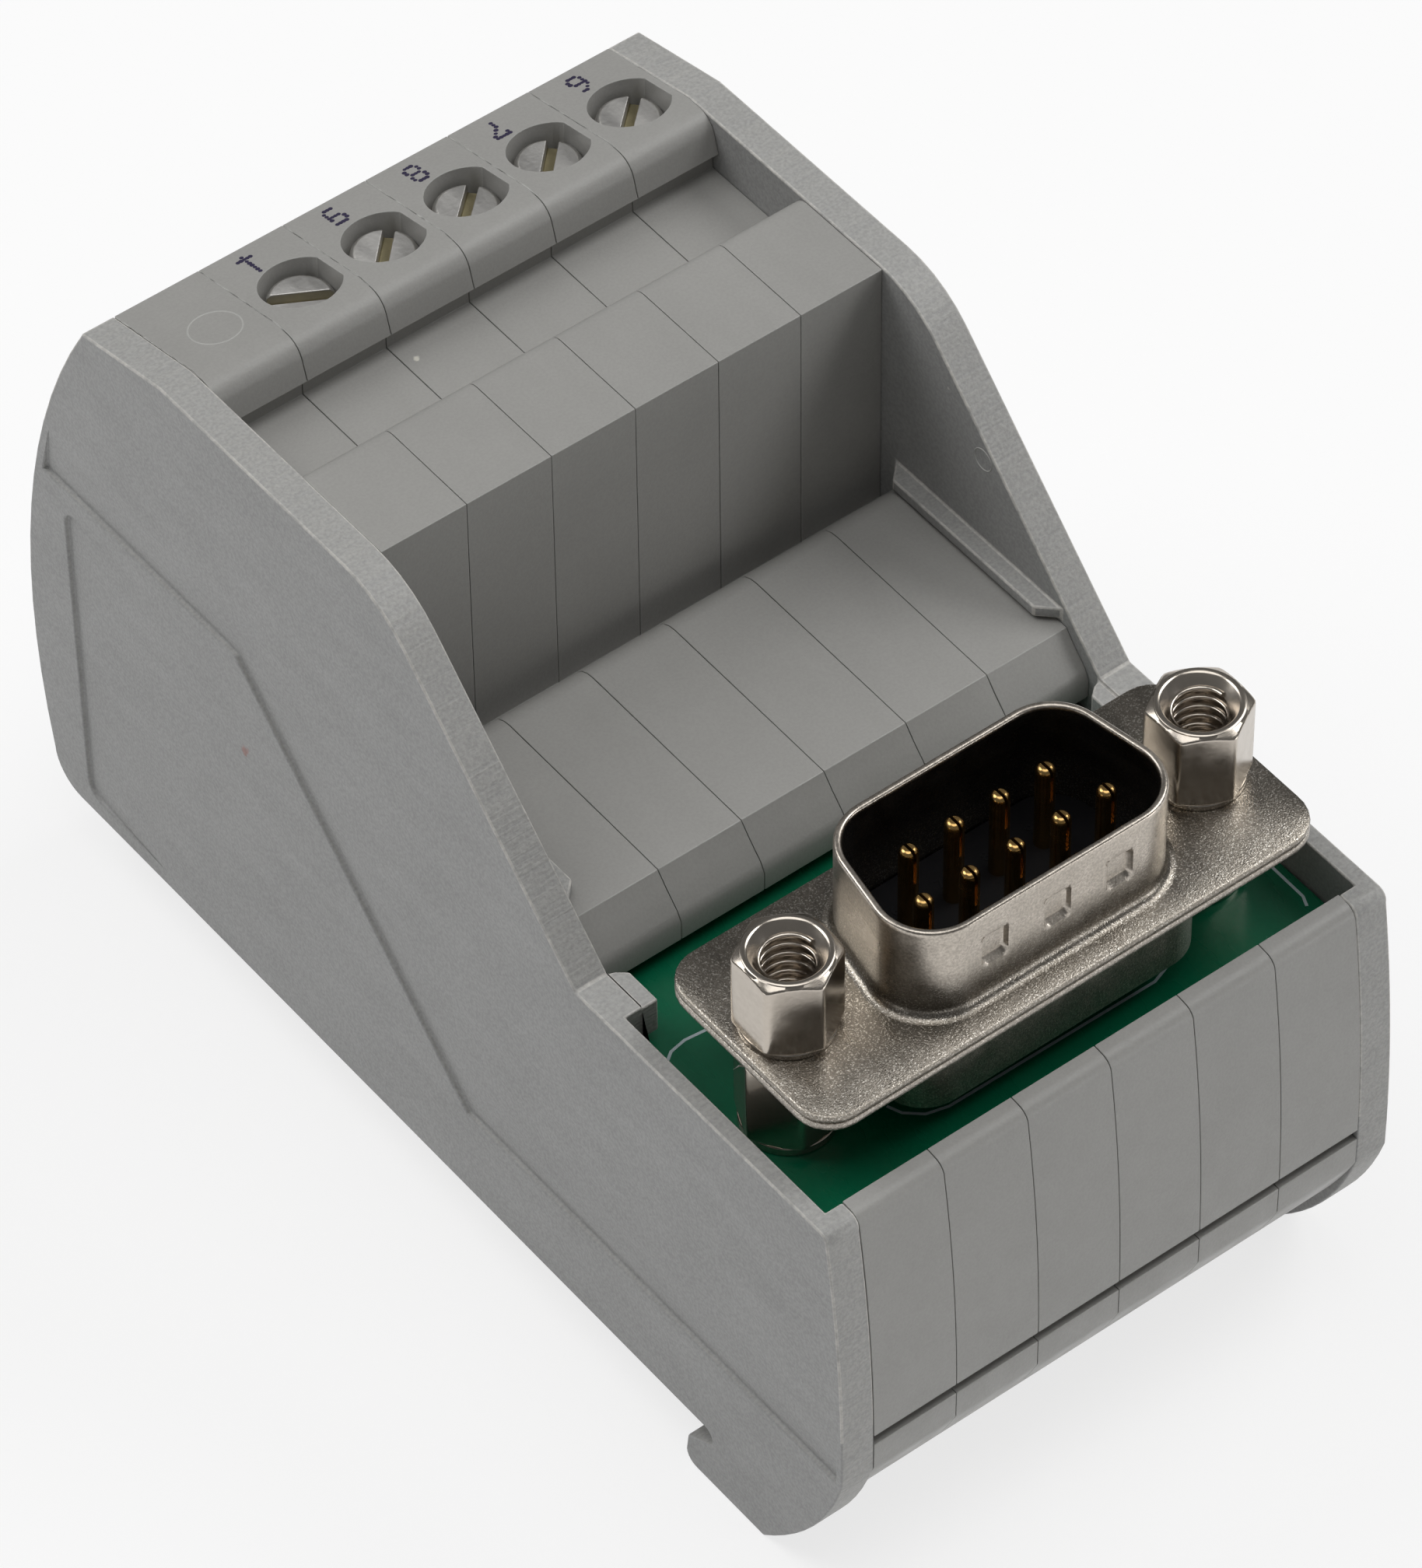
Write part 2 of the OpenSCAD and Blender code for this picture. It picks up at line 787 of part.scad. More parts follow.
module circuit_board() {
    z0 = board_z - board_t;
    x1 = inner_x - board_side;
    ear = inner_x + pocket_depth - board_side;
    color(green)
        difference() {
            union() {
                block([-x1, well_front + board_gap, z0], [x1, board_back, board_z]);
                block([-ear, well_front + board_side, z0], [ear, pocket_back - board_side, board_z]);
            }
            for (k = [0:8])
                board_hole(contact_at(k), solder_hole_r, round_fn);
            for (side = [-1, 1])
                board_hole([side*jack_pitch/2, conn.y], foot_stud_r + stud_clear, $fn);
            for (i = [first_terminal:slice_count], y = [upper_leg_y, lower_leg_y])
                board_hole([slice_x(i) + access_dx, y], pin_hole_r, round_fn);
        }
}

module board_hole(p, r, n) {
    translate([p.x, p.y, board_z - board_t - over])
        cylinder(h = board_t + 2*over, r = r, $fn = n);
}

// Place of a contact, counted from the left end of the front row
function contact_at(k) =
    let (
        in_front = k < contacts_front,
        n = in_front ? contacts_front : contacts_front - 1,
        j = in_front ? k : k - contacts_front
    )
    [(j - (n - 1)/2)*contact_pitch, conn.y + (in_front ? -1 : 1)*row_gap/2];

// D-shaped outline whose long side looks to the front
function d_outline(w, d, r) =
    let (narrow = w/2 - d*tan(shell_angle))
    rounded([[-w/2, -d/2, r], [-narrow, d/2, r], [narrow, d/2, r], [w/2, -d/2, r]]);

module d_shape(w, d, r, z0, h) {
    translate([0, conn.y, z0])
        linear_extrude(h)
            polygon(d_outline(w, d, r));
}

module flange(z0) {
    w = flange_w/2;
    d = flange_d/2;
    translate([0, conn.y, z0])
        linear_extrude(sheet_t)
            polygon(rounded([
                [-w, -d, flange_r], [-w, d, flange_r], [w, d, flange_r], [w, -d, flange_r]
            ]));
}

module flange_holes() {
    for (side = [-1, 1])
        translate([side*jack_pitch/2, conn.y, flange_z - 2*sheet_t - over])
            cylinder(h = 2*sheet_t + 2*over, r = flange_hole_r);
}

module connector_front_shell() {
    inner = 2*shell_wall;
    color(nickel)
        difference() {
            union() {
                flange(flange_z - sheet_t);
                d_shape(shell_w, shell_d, shell_r, flange_z - sheet_t, shell_h + sheet_t);
            }
            d_shape(
                shell_w - inner, shell_d - inner, shell_r - shell_wall,
                flange_z - sheet_t - over, shell_h + sheet_t + 2*over
            );
            flange_holes();
        }
}

module connector_rear_shell() {
    z0 = flange_z - 2*sheet_t;
    inner = 2*shell_wall;
    color(nickel)
        difference() {
            union() {
                flange(z0);
                d_shape(rear_w, rear_d, rear_r, z0 - rear_h, rear_h + eps);
            }
            d_shape(
                rear_w - inner, rear_d - inner, rear_r - shell_wall,
                z0 - rear_h - over, rear_h + sheet_t + 2*over
            );
            flange_holes();
        }
}

module connector_insulator() {
    inner = 2*shell_wall + 2*fit_gap;
    z0 = flange_z - 2*sheet_t;
    color(black)
        difference() {
            union() {
                d_shape(
                    shell_w - inner, shell_d - inner, shell_r - shell_wall - fit_gap,
                    z0, 2*sheet_t + insulator_face
                );
                d_shape(
                    rear_w - inner, rear_d - inner, rear_r - shell_wall - fit_gap,
                    board_z + insulator_lift, flange_lift - insulator_lift + sheet_t - fit_gap/2
                );
                for (side = [-1, 1])
                    translate([side*rear_w*foot_share, conn.y, board_z + face_gap])
                        linear_extrude(insulator_lift + fit_gap)
                            square(insulator_foot, center = true);
            }
            for (k = [0:8])
                translate([contact_at(k).x, contact_at(k).y, board_z - over])
                    cylinder(
                        h = flange_lift + shell_h, d = contact_dia + 2*contact_clear, $fn = round_fn
                    );
        }
}

module contact(k) {
    tip = flange_z + contact_h;
    r = contact_dia/2;
    low = board_z - board_t - tail_out;
    color(gold)
        translate([contact_at(k).x, contact_at(k).y, 0]) {
            translate([0, 0, contact_root])
                cylinder(h = tip - contact_nose - contact_root, r = r, $fn = round_fn);
            translate([0, 0, tip - contact_nose - eps])
                cylinder(h = contact_nose + eps, r1 = r, r2 = contact_flat_r, $fn = round_fn);
            translate([0, 0, low])
                cylinder(h = contact_root + eps - low, r = tail_r, $fn = round_fn);
        }
}

// Hexagon with its corners turned down to rings at both ends
module hexagon(z0, h, turn) {
    intersection() {
        translate([0, 0, z0])
            rotate([0, 0, turn])
                cylinder(h = h, r = hex_r, $fn = 6);
        union() {
            translate([0, 0, z0])
                cylinder(h = hex_chamfer, r1 = collar_r, r2 = hex_r + eps);
            translate([0, 0, z0 + hex_chamfer - eps])
                cylinder(h = h - 2*hex_chamfer + 2*eps, r = hex_r + eps);
            translate([0, 0, z0 + h - hex_chamfer])
                cylinder(h = hex_chamfer, r1 = hex_r + eps, r2 = top_ring_r);
        }
    }
}

module jackscrew(side) {
    top = flange_z + jack_h;
    color(nickel)
        translate([side*jack_pitch/2, conn.y, 0])
            difference() {
                union() {
                    hexagon(flange_z + jack_collar_h - eps, jack_h - jack_collar_h + eps, jack_turn);
                    translate([0, 0, flange_z + face_gap])
                        cylinder(h = jack_collar_h, r = collar_r);
                    translate([0, 0, flange_z - stud_l])
                        cylinder(h = stud_l + jack_collar_h/2, r = stud_r);
                }
                translate([0, 0, top - thread_depth])
                    cylinder(h = thread_depth + over, r = thread_r);
                translate([0, 0, top - mouth_h])
                    cylinder(h = mouth_h + eps, r1 = thread_r, r2 = mouth_r);
            }
}

module standoff(side) {
    top = flange_z - 2*sheet_t - face_gap;
    low = board_z + face_gap;
    color(nickel)
        translate([side*jack_pitch/2, conn.y, 0])
            difference() {
                union() {
                    hexagon(low + collar_h - eps, top - low - collar_h + eps, standoff_turn);
                    translate([0, 0, low])
                        cylinder(h = collar_h, r = collar_r);
                    translate([0, 0, board_z - board_t - foot_stud_out])
                        cylinder(h = board_t + foot_stud_out + collar_h/2, r = foot_stud_r);
                }
                translate([0, 0, top - stud_l])
                    cylinder(h = stud_l + over, r = stud_r + thread_clear);
            }
}

left_side_plate();
right_side_plate();
for (i = [1:slice_count])
    housing_slice(i);
rail_latch();
circuit_board();
connector_front_shell();
connector_rear_shell();
connector_insulator();
for (k = [1:9])
    contact(k - 1);
jackscrew(-1);  // jackscrew_left
jackscrew(1);  // jackscrew_right
standoff(-1);  // standoff_left
standoff(1);  // standoff_right
for (i = [first_terminal:slice_count]) {
    terminal_screw(i, upper_y, upper_z);
    clamp_cage(i, upper_y, upper_z);
    current_bar(i, upper_y, upper_z, upper_leg_y, false);
    terminal_screw(i, lower_y, lower_z);
    clamp_cage(i, lower_y, lower_z);
    current_bar(i, lower_y, lower_z, lower_leg_y, true);
}
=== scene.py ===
import math

import bmesh
import bpy
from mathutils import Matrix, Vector


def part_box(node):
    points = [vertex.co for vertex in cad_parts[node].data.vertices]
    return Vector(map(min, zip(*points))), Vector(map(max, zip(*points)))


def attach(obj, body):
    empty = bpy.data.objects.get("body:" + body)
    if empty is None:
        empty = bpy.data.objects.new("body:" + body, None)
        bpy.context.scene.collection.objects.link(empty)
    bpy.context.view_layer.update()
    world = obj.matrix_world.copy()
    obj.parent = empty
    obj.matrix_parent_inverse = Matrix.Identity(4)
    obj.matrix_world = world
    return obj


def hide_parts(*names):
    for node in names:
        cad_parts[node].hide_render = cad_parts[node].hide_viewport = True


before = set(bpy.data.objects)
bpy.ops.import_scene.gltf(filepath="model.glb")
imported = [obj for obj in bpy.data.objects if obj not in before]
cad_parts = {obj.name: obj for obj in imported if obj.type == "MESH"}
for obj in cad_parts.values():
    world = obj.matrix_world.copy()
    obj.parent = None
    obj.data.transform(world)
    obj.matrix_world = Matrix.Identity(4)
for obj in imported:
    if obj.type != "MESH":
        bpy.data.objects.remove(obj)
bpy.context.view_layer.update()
mm = 0.001
seed = 7
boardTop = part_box("circuit_board")[1].z / mm
print("frame loaded")

# small helpers


def addObject(name, data):
    thing = bpy.data.objects.new(name, data)
    bpy.context.scene.collection.objects.link(thing)
    return thing


def feed(tree, socket, value):
    if isinstance(value, (int, float, tuple)):
        socket.default_value = value
    else:
        tree.links.new(value, socket)


def addNode(tree, kind, links=(), **values):  # a node of either kind of tree, its settings made before its inputs
    node = tree.nodes.new(kind)
    for key, value in values.items():
        setattr(node, key, value)
    for socket, value in dict(links).items():
        feed(tree, node.inputs[socket], value)
    return node


def mathNode(tree, operation, *terms):
    return addNode(tree, "ShaderNodeMath", dict(enumerate(terms)), operation=operation).outputs[0]


# camera, floor and lights

cameraDesk = {
    "place": (-0.17629, -0.23132, 0.34445),
    "turn": (41.834, 0.519, -38.049),
    "lens": 200.87,
}
floorDesk = {"size": 3.0, "colour": (0.97, 0.97, 0.97), "rough": 0.9, "seenShare": 0.75}
lightDesk = {
    "ambient": 0.15,
    "lamps": {
        "topSoft": {"place": (-0.05, -0.05, 0.66), "size": 0.5, "power": 1.15},
        "rightSoft": {"place": (0.45, -0.08, 0.52), "size": 0.4, "power": 1.6},
        "backSoft": {"place": (-0.25, 0.35, 0.5), "size": 0.4, "power": 1.45},
        "frontSoft": {"place": (0.4, -0.55, 0.07), "size": 0.3, "power": 0.75},
        "leftSoft": {"place": (-0.7, 0.0, 0.03), "size": 0.3, "power": 0.35},
    },
    "aim": (0.0, 0.0, 0.02),
}


def makeCamera():
    data = bpy.data.cameras.new("camera")
    data.lens = cameraDesk["lens"]
    data.sensor_width = 36.0
    data.clip_start, data.clip_end = 0.01, 20.0
    camera = addObject("camera", data)
    camera.location = cameraDesk["place"]
    camera.rotation_euler = [math.radians(angle) for angle in cameraDesk["turn"]]
    bpy.context.scene.camera = camera


def makeLamps():
    aim = Vector(lightDesk["aim"])
    for name, values in lightDesk["lamps"].items():
        data = bpy.data.lights.new(name, "AREA")
        data.shape = "DISK"
        data.size = values["size"]
        data.energy = values["power"]
        lamp = addObject(name, data)
        lamp.location = values["place"]
        lamp.rotation_euler = (aim - lamp.location).to_track_quat("-Z", "Y").to_euler()


def makeWorld():
    world = bpy.data.worlds.new("studio")
    bpy.context.scene.world = world
    world.use_nodes = True
    back = world.node_tree.nodes["Background"]
    back.inputs["Strength"].default_value = lightDesk["ambient"]
    back.inputs["Color"].default_value = (1.0, 1.0, 1.0, 1.0)


def makeFloor():
    half = floorDesk["size"] / 2
    mesh = bpy.data.meshes.new("floor")
    mesh.from_pydata([(-half, -half, 0), (half, -half, 0), (half, half, 0), (-half, half, 0)], [], [(0, 1, 2, 3)])
    material = bpy.data.materials.new("paleFloor")
    material.use_nodes = True
    tree = material.node_tree
    shader = tree.nodes["Principled BSDF"]
    shader.inputs["Base Color"].default_value = (*floorDesk["colour"], 1.0)
    shader.inputs["Roughness"].default_value = floorDesk["rough"]
    white = addNode(tree, "ShaderNodeEmission", {"Strength": 1.0})  # white behind the object, its shadow left
    path = addNode(tree, "ShaderNodeLightPath")
    seen = path.outputs["Is Camera Ray"]
    for label in ("Is Glossy Ray", "Is Transmission Ray"):
        seen = mathNode(tree, "MAXIMUM", seen, path.outputs[label])
    share = mathNode(tree, "MULTIPLY", seen, floorDesk["seenShare"])
    mix = addNode(tree, "ShaderNodeMixShader", {0: share, 1: shader.outputs[0], 2: white.outputs[0]})
    tree.links.new(mix.outputs[0], tree.nodes["Material Output"].inputs["Surface"])
    mesh.materials.append(material)
    addObject("floor", mesh)


bpy.context.scene.view_settings.view_transform = "Standard"
makeCamera()
makeLamps()
makeWorld()
makeFloor()
print("camera, floor and lights made")

# shader node groups


def makeGroup(name, inputs, outputs):
    tree = bpy.data.node_groups.new(name, "ShaderNodeTree")
    for label, value in inputs.items():
        kind = "NodeSocketVector" if isinstance(value, tuple) else "NodeSocketFloat"
        socket = tree.interface.new_socket(name=label, in_out="INPUT", socket_type=kind)
        socket.default_value = value
    for label in outputs:
        tree.interface.new_socket(name=label, in_out="OUTPUT", socket_type="NodeSocketFloat")
    return tree, tree.nodes.new("NodeGroupInput"), tree.nodes.new("NodeGroupOutput")


def objectCoords(tree, stretch=None):
    source = addNode(tree, "ShaderNodeTexCoord").outputs["Object"]
    if stretch:
        source = addNode(tree, "ShaderNodeMapping", {"Vector": source, "Scale": stretch}).outputs["Vector"]
    return source


def noiseNode(tree, scale, detail, stretch=None):
    place = objectCoords(tree, stretch)
    return addNode(tree, "ShaderNodeTexNoise", {"Vector": place, "Scale": scale, "Detail": detail}).outputs["Fac"]


def rangeNode(tree, value, low, high, toLow, toHigh):
    return addNode(tree, "ShaderNodeMapRange", {
        "Value": value, "From Min": low, "From Max": high, "To Min": toLow, "To Max": toHigh,
    }).outputs["Result"]


def mixColour(tree, share, first, second):
    ends = [(*end, 1.0) if isinstance(end, tuple) else end for end in (first, second)]
    return addNode(tree, "ShaderNodeMix", {0: share, 6: ends[0], 7: ends[1]}, data_type="RGBA").outputs[2]


wearDesk = {  # noise scales per metre, the edge of a grain of dust, and the depth of the grain in mm
    "cloud": 160.0, "smear": 900.0, "rubbed": 1500.0, "ragged": 1800.0, "dust": 330.0, "dustEdge": (0.02, 0.035),
    "relief": 0.03,
}


def makeSurfaceGroup():  # grain, slow mottle, dust specks, and lighter rims of any finish: rubbed wear with painted highlight
    tree, given, result = makeGroup(
        "surfaceWear",
        {"Grain Scale": 4000.0, "Mottle": 0.06, "Rough Low": 0.4, "Rough High": 0.5, "Grain Tone": 0.03,
         "Speck Share": 0.3},
        ("Tone", "Roughness", "Height", "Edge", "Speck"),
    )
    grain = noiseNode(tree, given.outputs["Grain Scale"], 3.0)
    cloud = noiseNode(tree, wearDesk["cloud"], 4.0)
    smear = noiseNode(tree, wearDesk["smear"], 2.0, (1.0, 0.25, 1.0))
    tones = []
    for source, label, low, high in ((cloud, "Mottle", 0.25, 0.75), (grain, "Grain Tone", 0.35, 0.65)):
        darker = mathNode(tree, "SUBTRACT", 1.0, given.outputs[label])
        lighter = mathNode(tree, "ADD", 1.0, given.outputs[label])
        tones.append(rangeNode(tree, source, low, high, darker, lighter))
    rough = rangeNode(tree, smear, 0.3, 0.7, given.outputs["Rough Low"], given.outputs["Rough High"])
    # painted highlight with rubbed wear: rim faces are marked for a lighter colour, broken up by noise
    rim = addNode(tree, "ShaderNodeAttribute", attribute_name="rim")
    wornHighlight = rangeNode(tree, noiseNode(tree, wearDesk["rubbed"], 2.0), 0.3, 0.6, 0.35, 1.0)
    dust = addNode(tree, "ShaderNodeTexVoronoi", {"Vector": objectCoords(tree), "Scale": wearDesk["dust"]})
    near = rangeNode(tree, dust.outputs["Distance"], *wearDesk["dustEdge"], 1.0, 0.0)
    chosen = addNode(tree, "ShaderNodeSeparateColor", {"Color": dust.outputs["Color"]})
    kept = mathNode(tree, "LESS_THAN", chosen.outputs[0], given.outputs["Speck Share"])
    for label, value in {
        "Tone": mathNode(tree, "MULTIPLY", *tones), "Roughness": rough, "Height": grain,
        "Edge": mathNode(tree, "MULTIPLY", rim.outputs["Fac"], wornHighlight), "Speck": mathNode(tree, "MULTIPLY", near, kept),
    }.items():
        tree.links.new(value, result.inputs[label])
    return tree


def makeSpotGroup():  # one soft spot round a point of the object
    tree, given, result = makeGroup(
        "softSpot", {"Place": (0.0, 0.0, 0.0), "Radius": 0.001, "Ragged": 0.5}, ("Mask",)
    )
    ends = {0: objectCoords(tree), 1: given.outputs["Place"]}
    away = addNode(tree, "ShaderNodeVectorMath", ends, operation="DISTANCE")
    share = mathNode(tree, "DIVIDE", away.outputs["Value"], given.outputs["Radius"])
    wobble = rangeNode(tree, noiseNode(tree, wearDesk["ragged"], 3.0), 0.3, 0.7, -1.0, 1.0)
    ragged = mathNode(tree, "MULTIPLY", wobble, given.outputs["Ragged"])
    tree.links.new(rangeNode(tree, mathNode(tree, "ADD", share, ragged), 0.4, 1.0, 1.0, 0.0), result.inputs["Mask"])
    return tree


surfaceWear = makeSurfaceGroup()
softSpot = makeSpotGroup()


# the glint numbers set the painted glints (painted highlight) on the sand
sandDesk = {"above": 0.12, "cover": 0.85, "relief": 2.5, "glintFrom": 0.6, "glintTo": 0.7, "glintShare": 0.45}
streakDesk = {"sideFrom": 0.3, "sideTo": 0.6, "light": 0.6}


def finish(name, look):  # one material of the object, from its look
    material = bpy.data.materials.new(name)
    material.use_nodes = True
    tree = material.node_tree
    shader = tree.nodes["Principled BSDF"]
    wearAndHighlight = addNode(tree, "ShaderNodeGroup", {
        "Grain Scale": look["grain"], "Mottle": look["mottle"], "Rough Low": look["rough"][0],
        "Rough High": look["rough"][1], "Grain Tone": look.get("grainTone", 0.03),
        "Speck Share": look.get("specks", 0.0),
    }, node_tree=surfaceWear)
    # painted highlight with rubbed wear: rim faces are mixed toward the lighter edge colour
    strength = mathNode(tree, "MULTIPLY", wearAndHighlight.outputs["Edge"], look["edgeShare"])
    colour = mixColour(tree, strength, look["colour"], look["edgeColour"])
    for spot in look.get("spots", ()):
        mask = addNode(tree, "ShaderNodeGroup", {
            "Place": tuple(value * mm for value in spot["place"]), "Radius": spot["radius"] * mm,
            "Ragged": spot["ragged"],
        }, node_tree=softSpot)
        share = mathNode(tree, "MULTIPLY", mask.outputs["Mask"], spot["share"])
        colour = mixColour(tree, share, colour, spot["colour"])
    if "depth" in look:  # painted shade: colour of what lies deeper than the top face, such as a slot's floor or the front shell's inside
        deep = addNode(tree, "ShaderNodeAttribute", attribute_name="depth")
        share = rangeNode(tree, deep.outputs["Fac"], *look["depth"], 0.0, 1.0)
        colour = mixColour(tree, share, colour, look["deepColour"])
    if "sand" in look:  # nickel with sand grain relief below a height, its colour darker below that height, and painted glints (painted highlight) on it
        sand = look["sand"]
        place = addNode(tree, "ShaderNodeSeparateXYZ", {0: objectCoords(tree)})
        lower = rangeNode(tree, place.outputs["Z"], sand["low"], sand["high"], 1.0, sandDesk["above"])
        colour = mixColour(tree, mathNode(tree, "MULTIPLY", lower, sandDesk["cover"]), colour, sand["colour"])
        # painted highlight: noise for bright glint specks painted into the colour
        grain = noiseNode(tree, sand["glint"], 0.0)
        glints = rangeNode(tree, grain, sandDesk["glintFrom"], sandDesk["glintTo"], 0.0, sandDesk["glintShare"])
        colour = mixColour(tree, mathNode(tree, "MULTIPLY", lower, glints), colour, sand["glintColour"])
    height = wearAndHighlight.outputs["Height"]
    if "streaks" in look:  # fine lines of the mould across the rim, none on the broad side faces
        streaks = look["streaks"]
        noise = noiseNode(tree, streaks["scale"], 2.0, streaks["stretch"])
        normal = addNode(tree, "ShaderNodeNewGeometry").outputs["Normal"]
        facing = addNode(tree, "ShaderNodeSeparateXYZ", {0: normal})
        sideways = mathNode(tree, "ABSOLUTE", facing.outputs["X"])
        onRim = rangeNode(tree, sideways, streakDesk["sideFrom"], streakDesk["sideTo"], streaks["share"], 0.0)
        lines = mathNode(tree, "MULTIPLY", noise, onRim)
        height = mathNode(tree, "ADD", height, lines)
        light = rangeNode(tree, lines, 0.0, streaks["share"], 0.0, streakDesk["light"])
        colour = mixColour(tree, light, colour, streaks["colour"])
    colour = mixColour(tree, mathNode(tree, "MULTIPLY", wearAndHighlight.outputs["Speck"], 0.5), colour, look["edgeColour"])
    toned = addNode(tree, "ShaderNodeVectorMath", {0: colour, "Scale": wearAndHighlight.outputs["Tone"]}, operation="SCALE")
    if "sand" in look:
        grains = noiseNode(tree, look["sand"]["scale"], 1.0)
        raised = mathNode(tree, "MULTIPLY", grains, mathNode(tree, "MULTIPLY", lower, sandDesk["relief"]))
        height = mathNode(tree, "ADD", height, raised)
    bump = addNode(tree, "ShaderNodeBump", {
        "Strength": look["bump"], "Distance": wearDesk["relief"] * mm, "Height": height,
    })
    for label, value in {
        "Base Color": toned.outputs["Vector"], "Roughness": wearAndHighlight.outputs["Roughness"],
        "Metallic": look.get("metal", 0.0), "Specular IOR Level": look.get("specular", 0.5),
        "Normal": bump.outputs["Normal"],
    }.items():
        feed(tree, shader.inputs[label], value)
    return material


# each look's edge colour lightens rim faces as painted highlight with rubbed wear, and also colours the dust specks
looks = {
    "plateGrey": {"colour": (0.325, 0.325, 0.32), "edgeColour": (0.62, 0.6, 0.56), "edgeShare": 0.75, "mottle": 0.025,
                  "rough": (0.48, 0.6), "grain": 5600.0, "bump": 0.9, "specks": 0.12, "grainTone": 0.1,
                  "streaks": {"scale": 5200.0, "stretch": (0.015, 1.0, 1.0), "share": 1.2, "colour": (0.44, 0.43, 0.4)},
                  "spots": [
                      {"place": (-17.2, 14.29, 21.58), "radius": 0.38, "ragged": 0.6, "share": 0.6,
                       "colour": (0.32, 0.12, 0.09)},
                  ]},
    "sliceGrey": {"colour": (0.325, 0.32, 0.305), "edgeColour": (0.42, 0.42, 0.4), "edgeShare": 0.45, "mottle": 0.03,
                  "rough": (0.36, 0.5), "grain": 6500.0, "bump": 0.3, "specks": 0.2, "grainTone": 0.03,
                  "spots": [
                      {"place": (-4.38, 16.19, 39.7), "radius": 0.19, "ragged": 0.7, "share": 0.8,
                       "colour": (0.7, 0.68, 0.6)},
                  ]},
    "latchGrey": {"colour": (0.3, 0.298, 0.288), "edgeColour": (0.36, 0.36, 0.35), "edgeShare": 0.4, "mottle": 0.04,
                  "rough": (0.4, 0.5), "grain": 6000.0, "bump": 0.15},
    "boardGreen": {"colour": (0.001, 0.11, 0.05), "edgeColour": (0.02, 0.16, 0.08), "edgeShare": 0.3, "mottle": 0.12,
                   "rough": (0.22, 0.34), "grain": 3000.0, "bump": 0.1, "specks": 0.1},
    "boardInk": {"colour": (0.42, 0.5, 0.52), "edgeColour": (0.5, 0.56, 0.56), "edgeShare": 0.2, "mottle": 0.15,
                 "rough": (0.5, 0.65), "grain": 6000.0, "bump": 0.2},
    "labelInk": {"colour": (0.022, 0.016, 0.05), "edgeColour": (0.05, 0.045, 0.09), "edgeShare": 0.3, "mottle": 0.25,
                 "rough": (0.5, 0.65), "grain": 7000.0, "bump": 0.2},
    "nickel": {"colour": (0.52, 0.47, 0.41), "edgeColour": (0.78, 0.75, 0.7), "edgeShare": 0.35, "mottle": 0.05,
               "rough": (0.16, 0.26), "grain": 4000.0, "bump": 0.1, "metal": 1.0},
    "shellNickel": {"colour": (0.53, 0.48, 0.42), "edgeColour": (0.8, 0.76, 0.7), "edgeShare": 0.4, "mottle": 0.08,
                    "rough": (0.24, 0.36), "grain": 7000.0, "bump": 0.2, "grainTone": 0.16, "metal": 1.0,
                    # the dark deep colour is painted shade on the shell's inside walls
                    "depth": (0.1, 0.9), "deepColour": (0.13, 0.12, 0.11),
                    # the glint colour is painted highlight
                    "sand": {"low": 0.0327, "high": 0.0352, "scale": 13000.0, "glint": 14000.0,
                             "colour": (0.22, 0.2, 0.17), "glintColour": (0.85, 0.81, 0.74)}},
    "sandNickel": {"colour": (0.5, 0.45, 0.39), "edgeColour": (0.75, 0.71, 0.65), "edgeShare": 0.4, "mottle": 0.1,
                   "rough": (0.28, 0.4), "grain": 7000.0, "bump": 0.3, "grainTone": 0.2, "metal": 1.0,
                   # the glint colour is painted highlight
                   "sand": {"low": 0.05, "high": 0.06, "scale": 13000.0, "glint": 14000.0,
                            "colour": (0.36, 0.33, 0.29), "glintColour": (0.8, 0.76, 0.7)}},
    "blackPlastic": {"colour": (0.006, 0.006, 0.007), "edgeColour": (0.03, 0.03, 0.03), "edgeShare": 0.3, "mottle": 0.2,
                     "rough": (0.45, 0.6), "grain": 5000.0, "bump": 0.3, "specular": 0.12},
    "gold": {"colour": (0.55, 0.35, 0.13), "edgeColour": (0.9, 0.7, 0.4), "edgeShare": 0.4, "mottle": 0.06,
             "rough": (0.16, 0.28), "grain": 6000.0, "bump": 0.05, "metal": 1.0},
    # zincSteel's deep colour is painted shade on the screw slot's floor
    "zincSteel": {"colour": (0.56, 0.55, 0.53), "edgeColour": (0.72, 0.7, 0.66), "edgeShare": 0.4, "mottle": 0.12,
                  "rough": (0.42, 0.6), "grain": 4200.0, "bump": 0.6, "metal": 1.0,
                  "depth": (0.5, 0.72), "deepColour": (0.36, 0.32, 0.2)},
    "clampTin": {"colour": (0.6, 0.55, 0.42), "edgeColour": (0.7, 0.66, 0.55), "edgeShare": 0.3, "mottle": 0.08,
                 "rough": (0.3, 0.45), "grain": 5000.0, "bump": 0.15, "metal": 1.0},
    # lighter grey for the flash, and on the mould marks a painted highlight
    "burrGrey": {"colour": (0.43, 0.43, 0.41), "edgeColour": (0.5, 0.5, 0.48), "edgeShare": 0.2, "mottle": 0.2,
                 "rough": (0.45, 0.6), "grain": 6000.0, "bump": 0.2},
}
finishes = {name: finish(name, look) for name, look in looks.items()}
print("materials made:", len(finishes))

# mesh helpers


def addPiece(name, mesh, material, body="housing", replaced=()):
    piece = addObject(name, mesh)
    mesh.materials.clear()
    mesh.materials.append(finishes[material])
    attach(piece, body)
    if replaced:
        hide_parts(*replaced)
    return piece


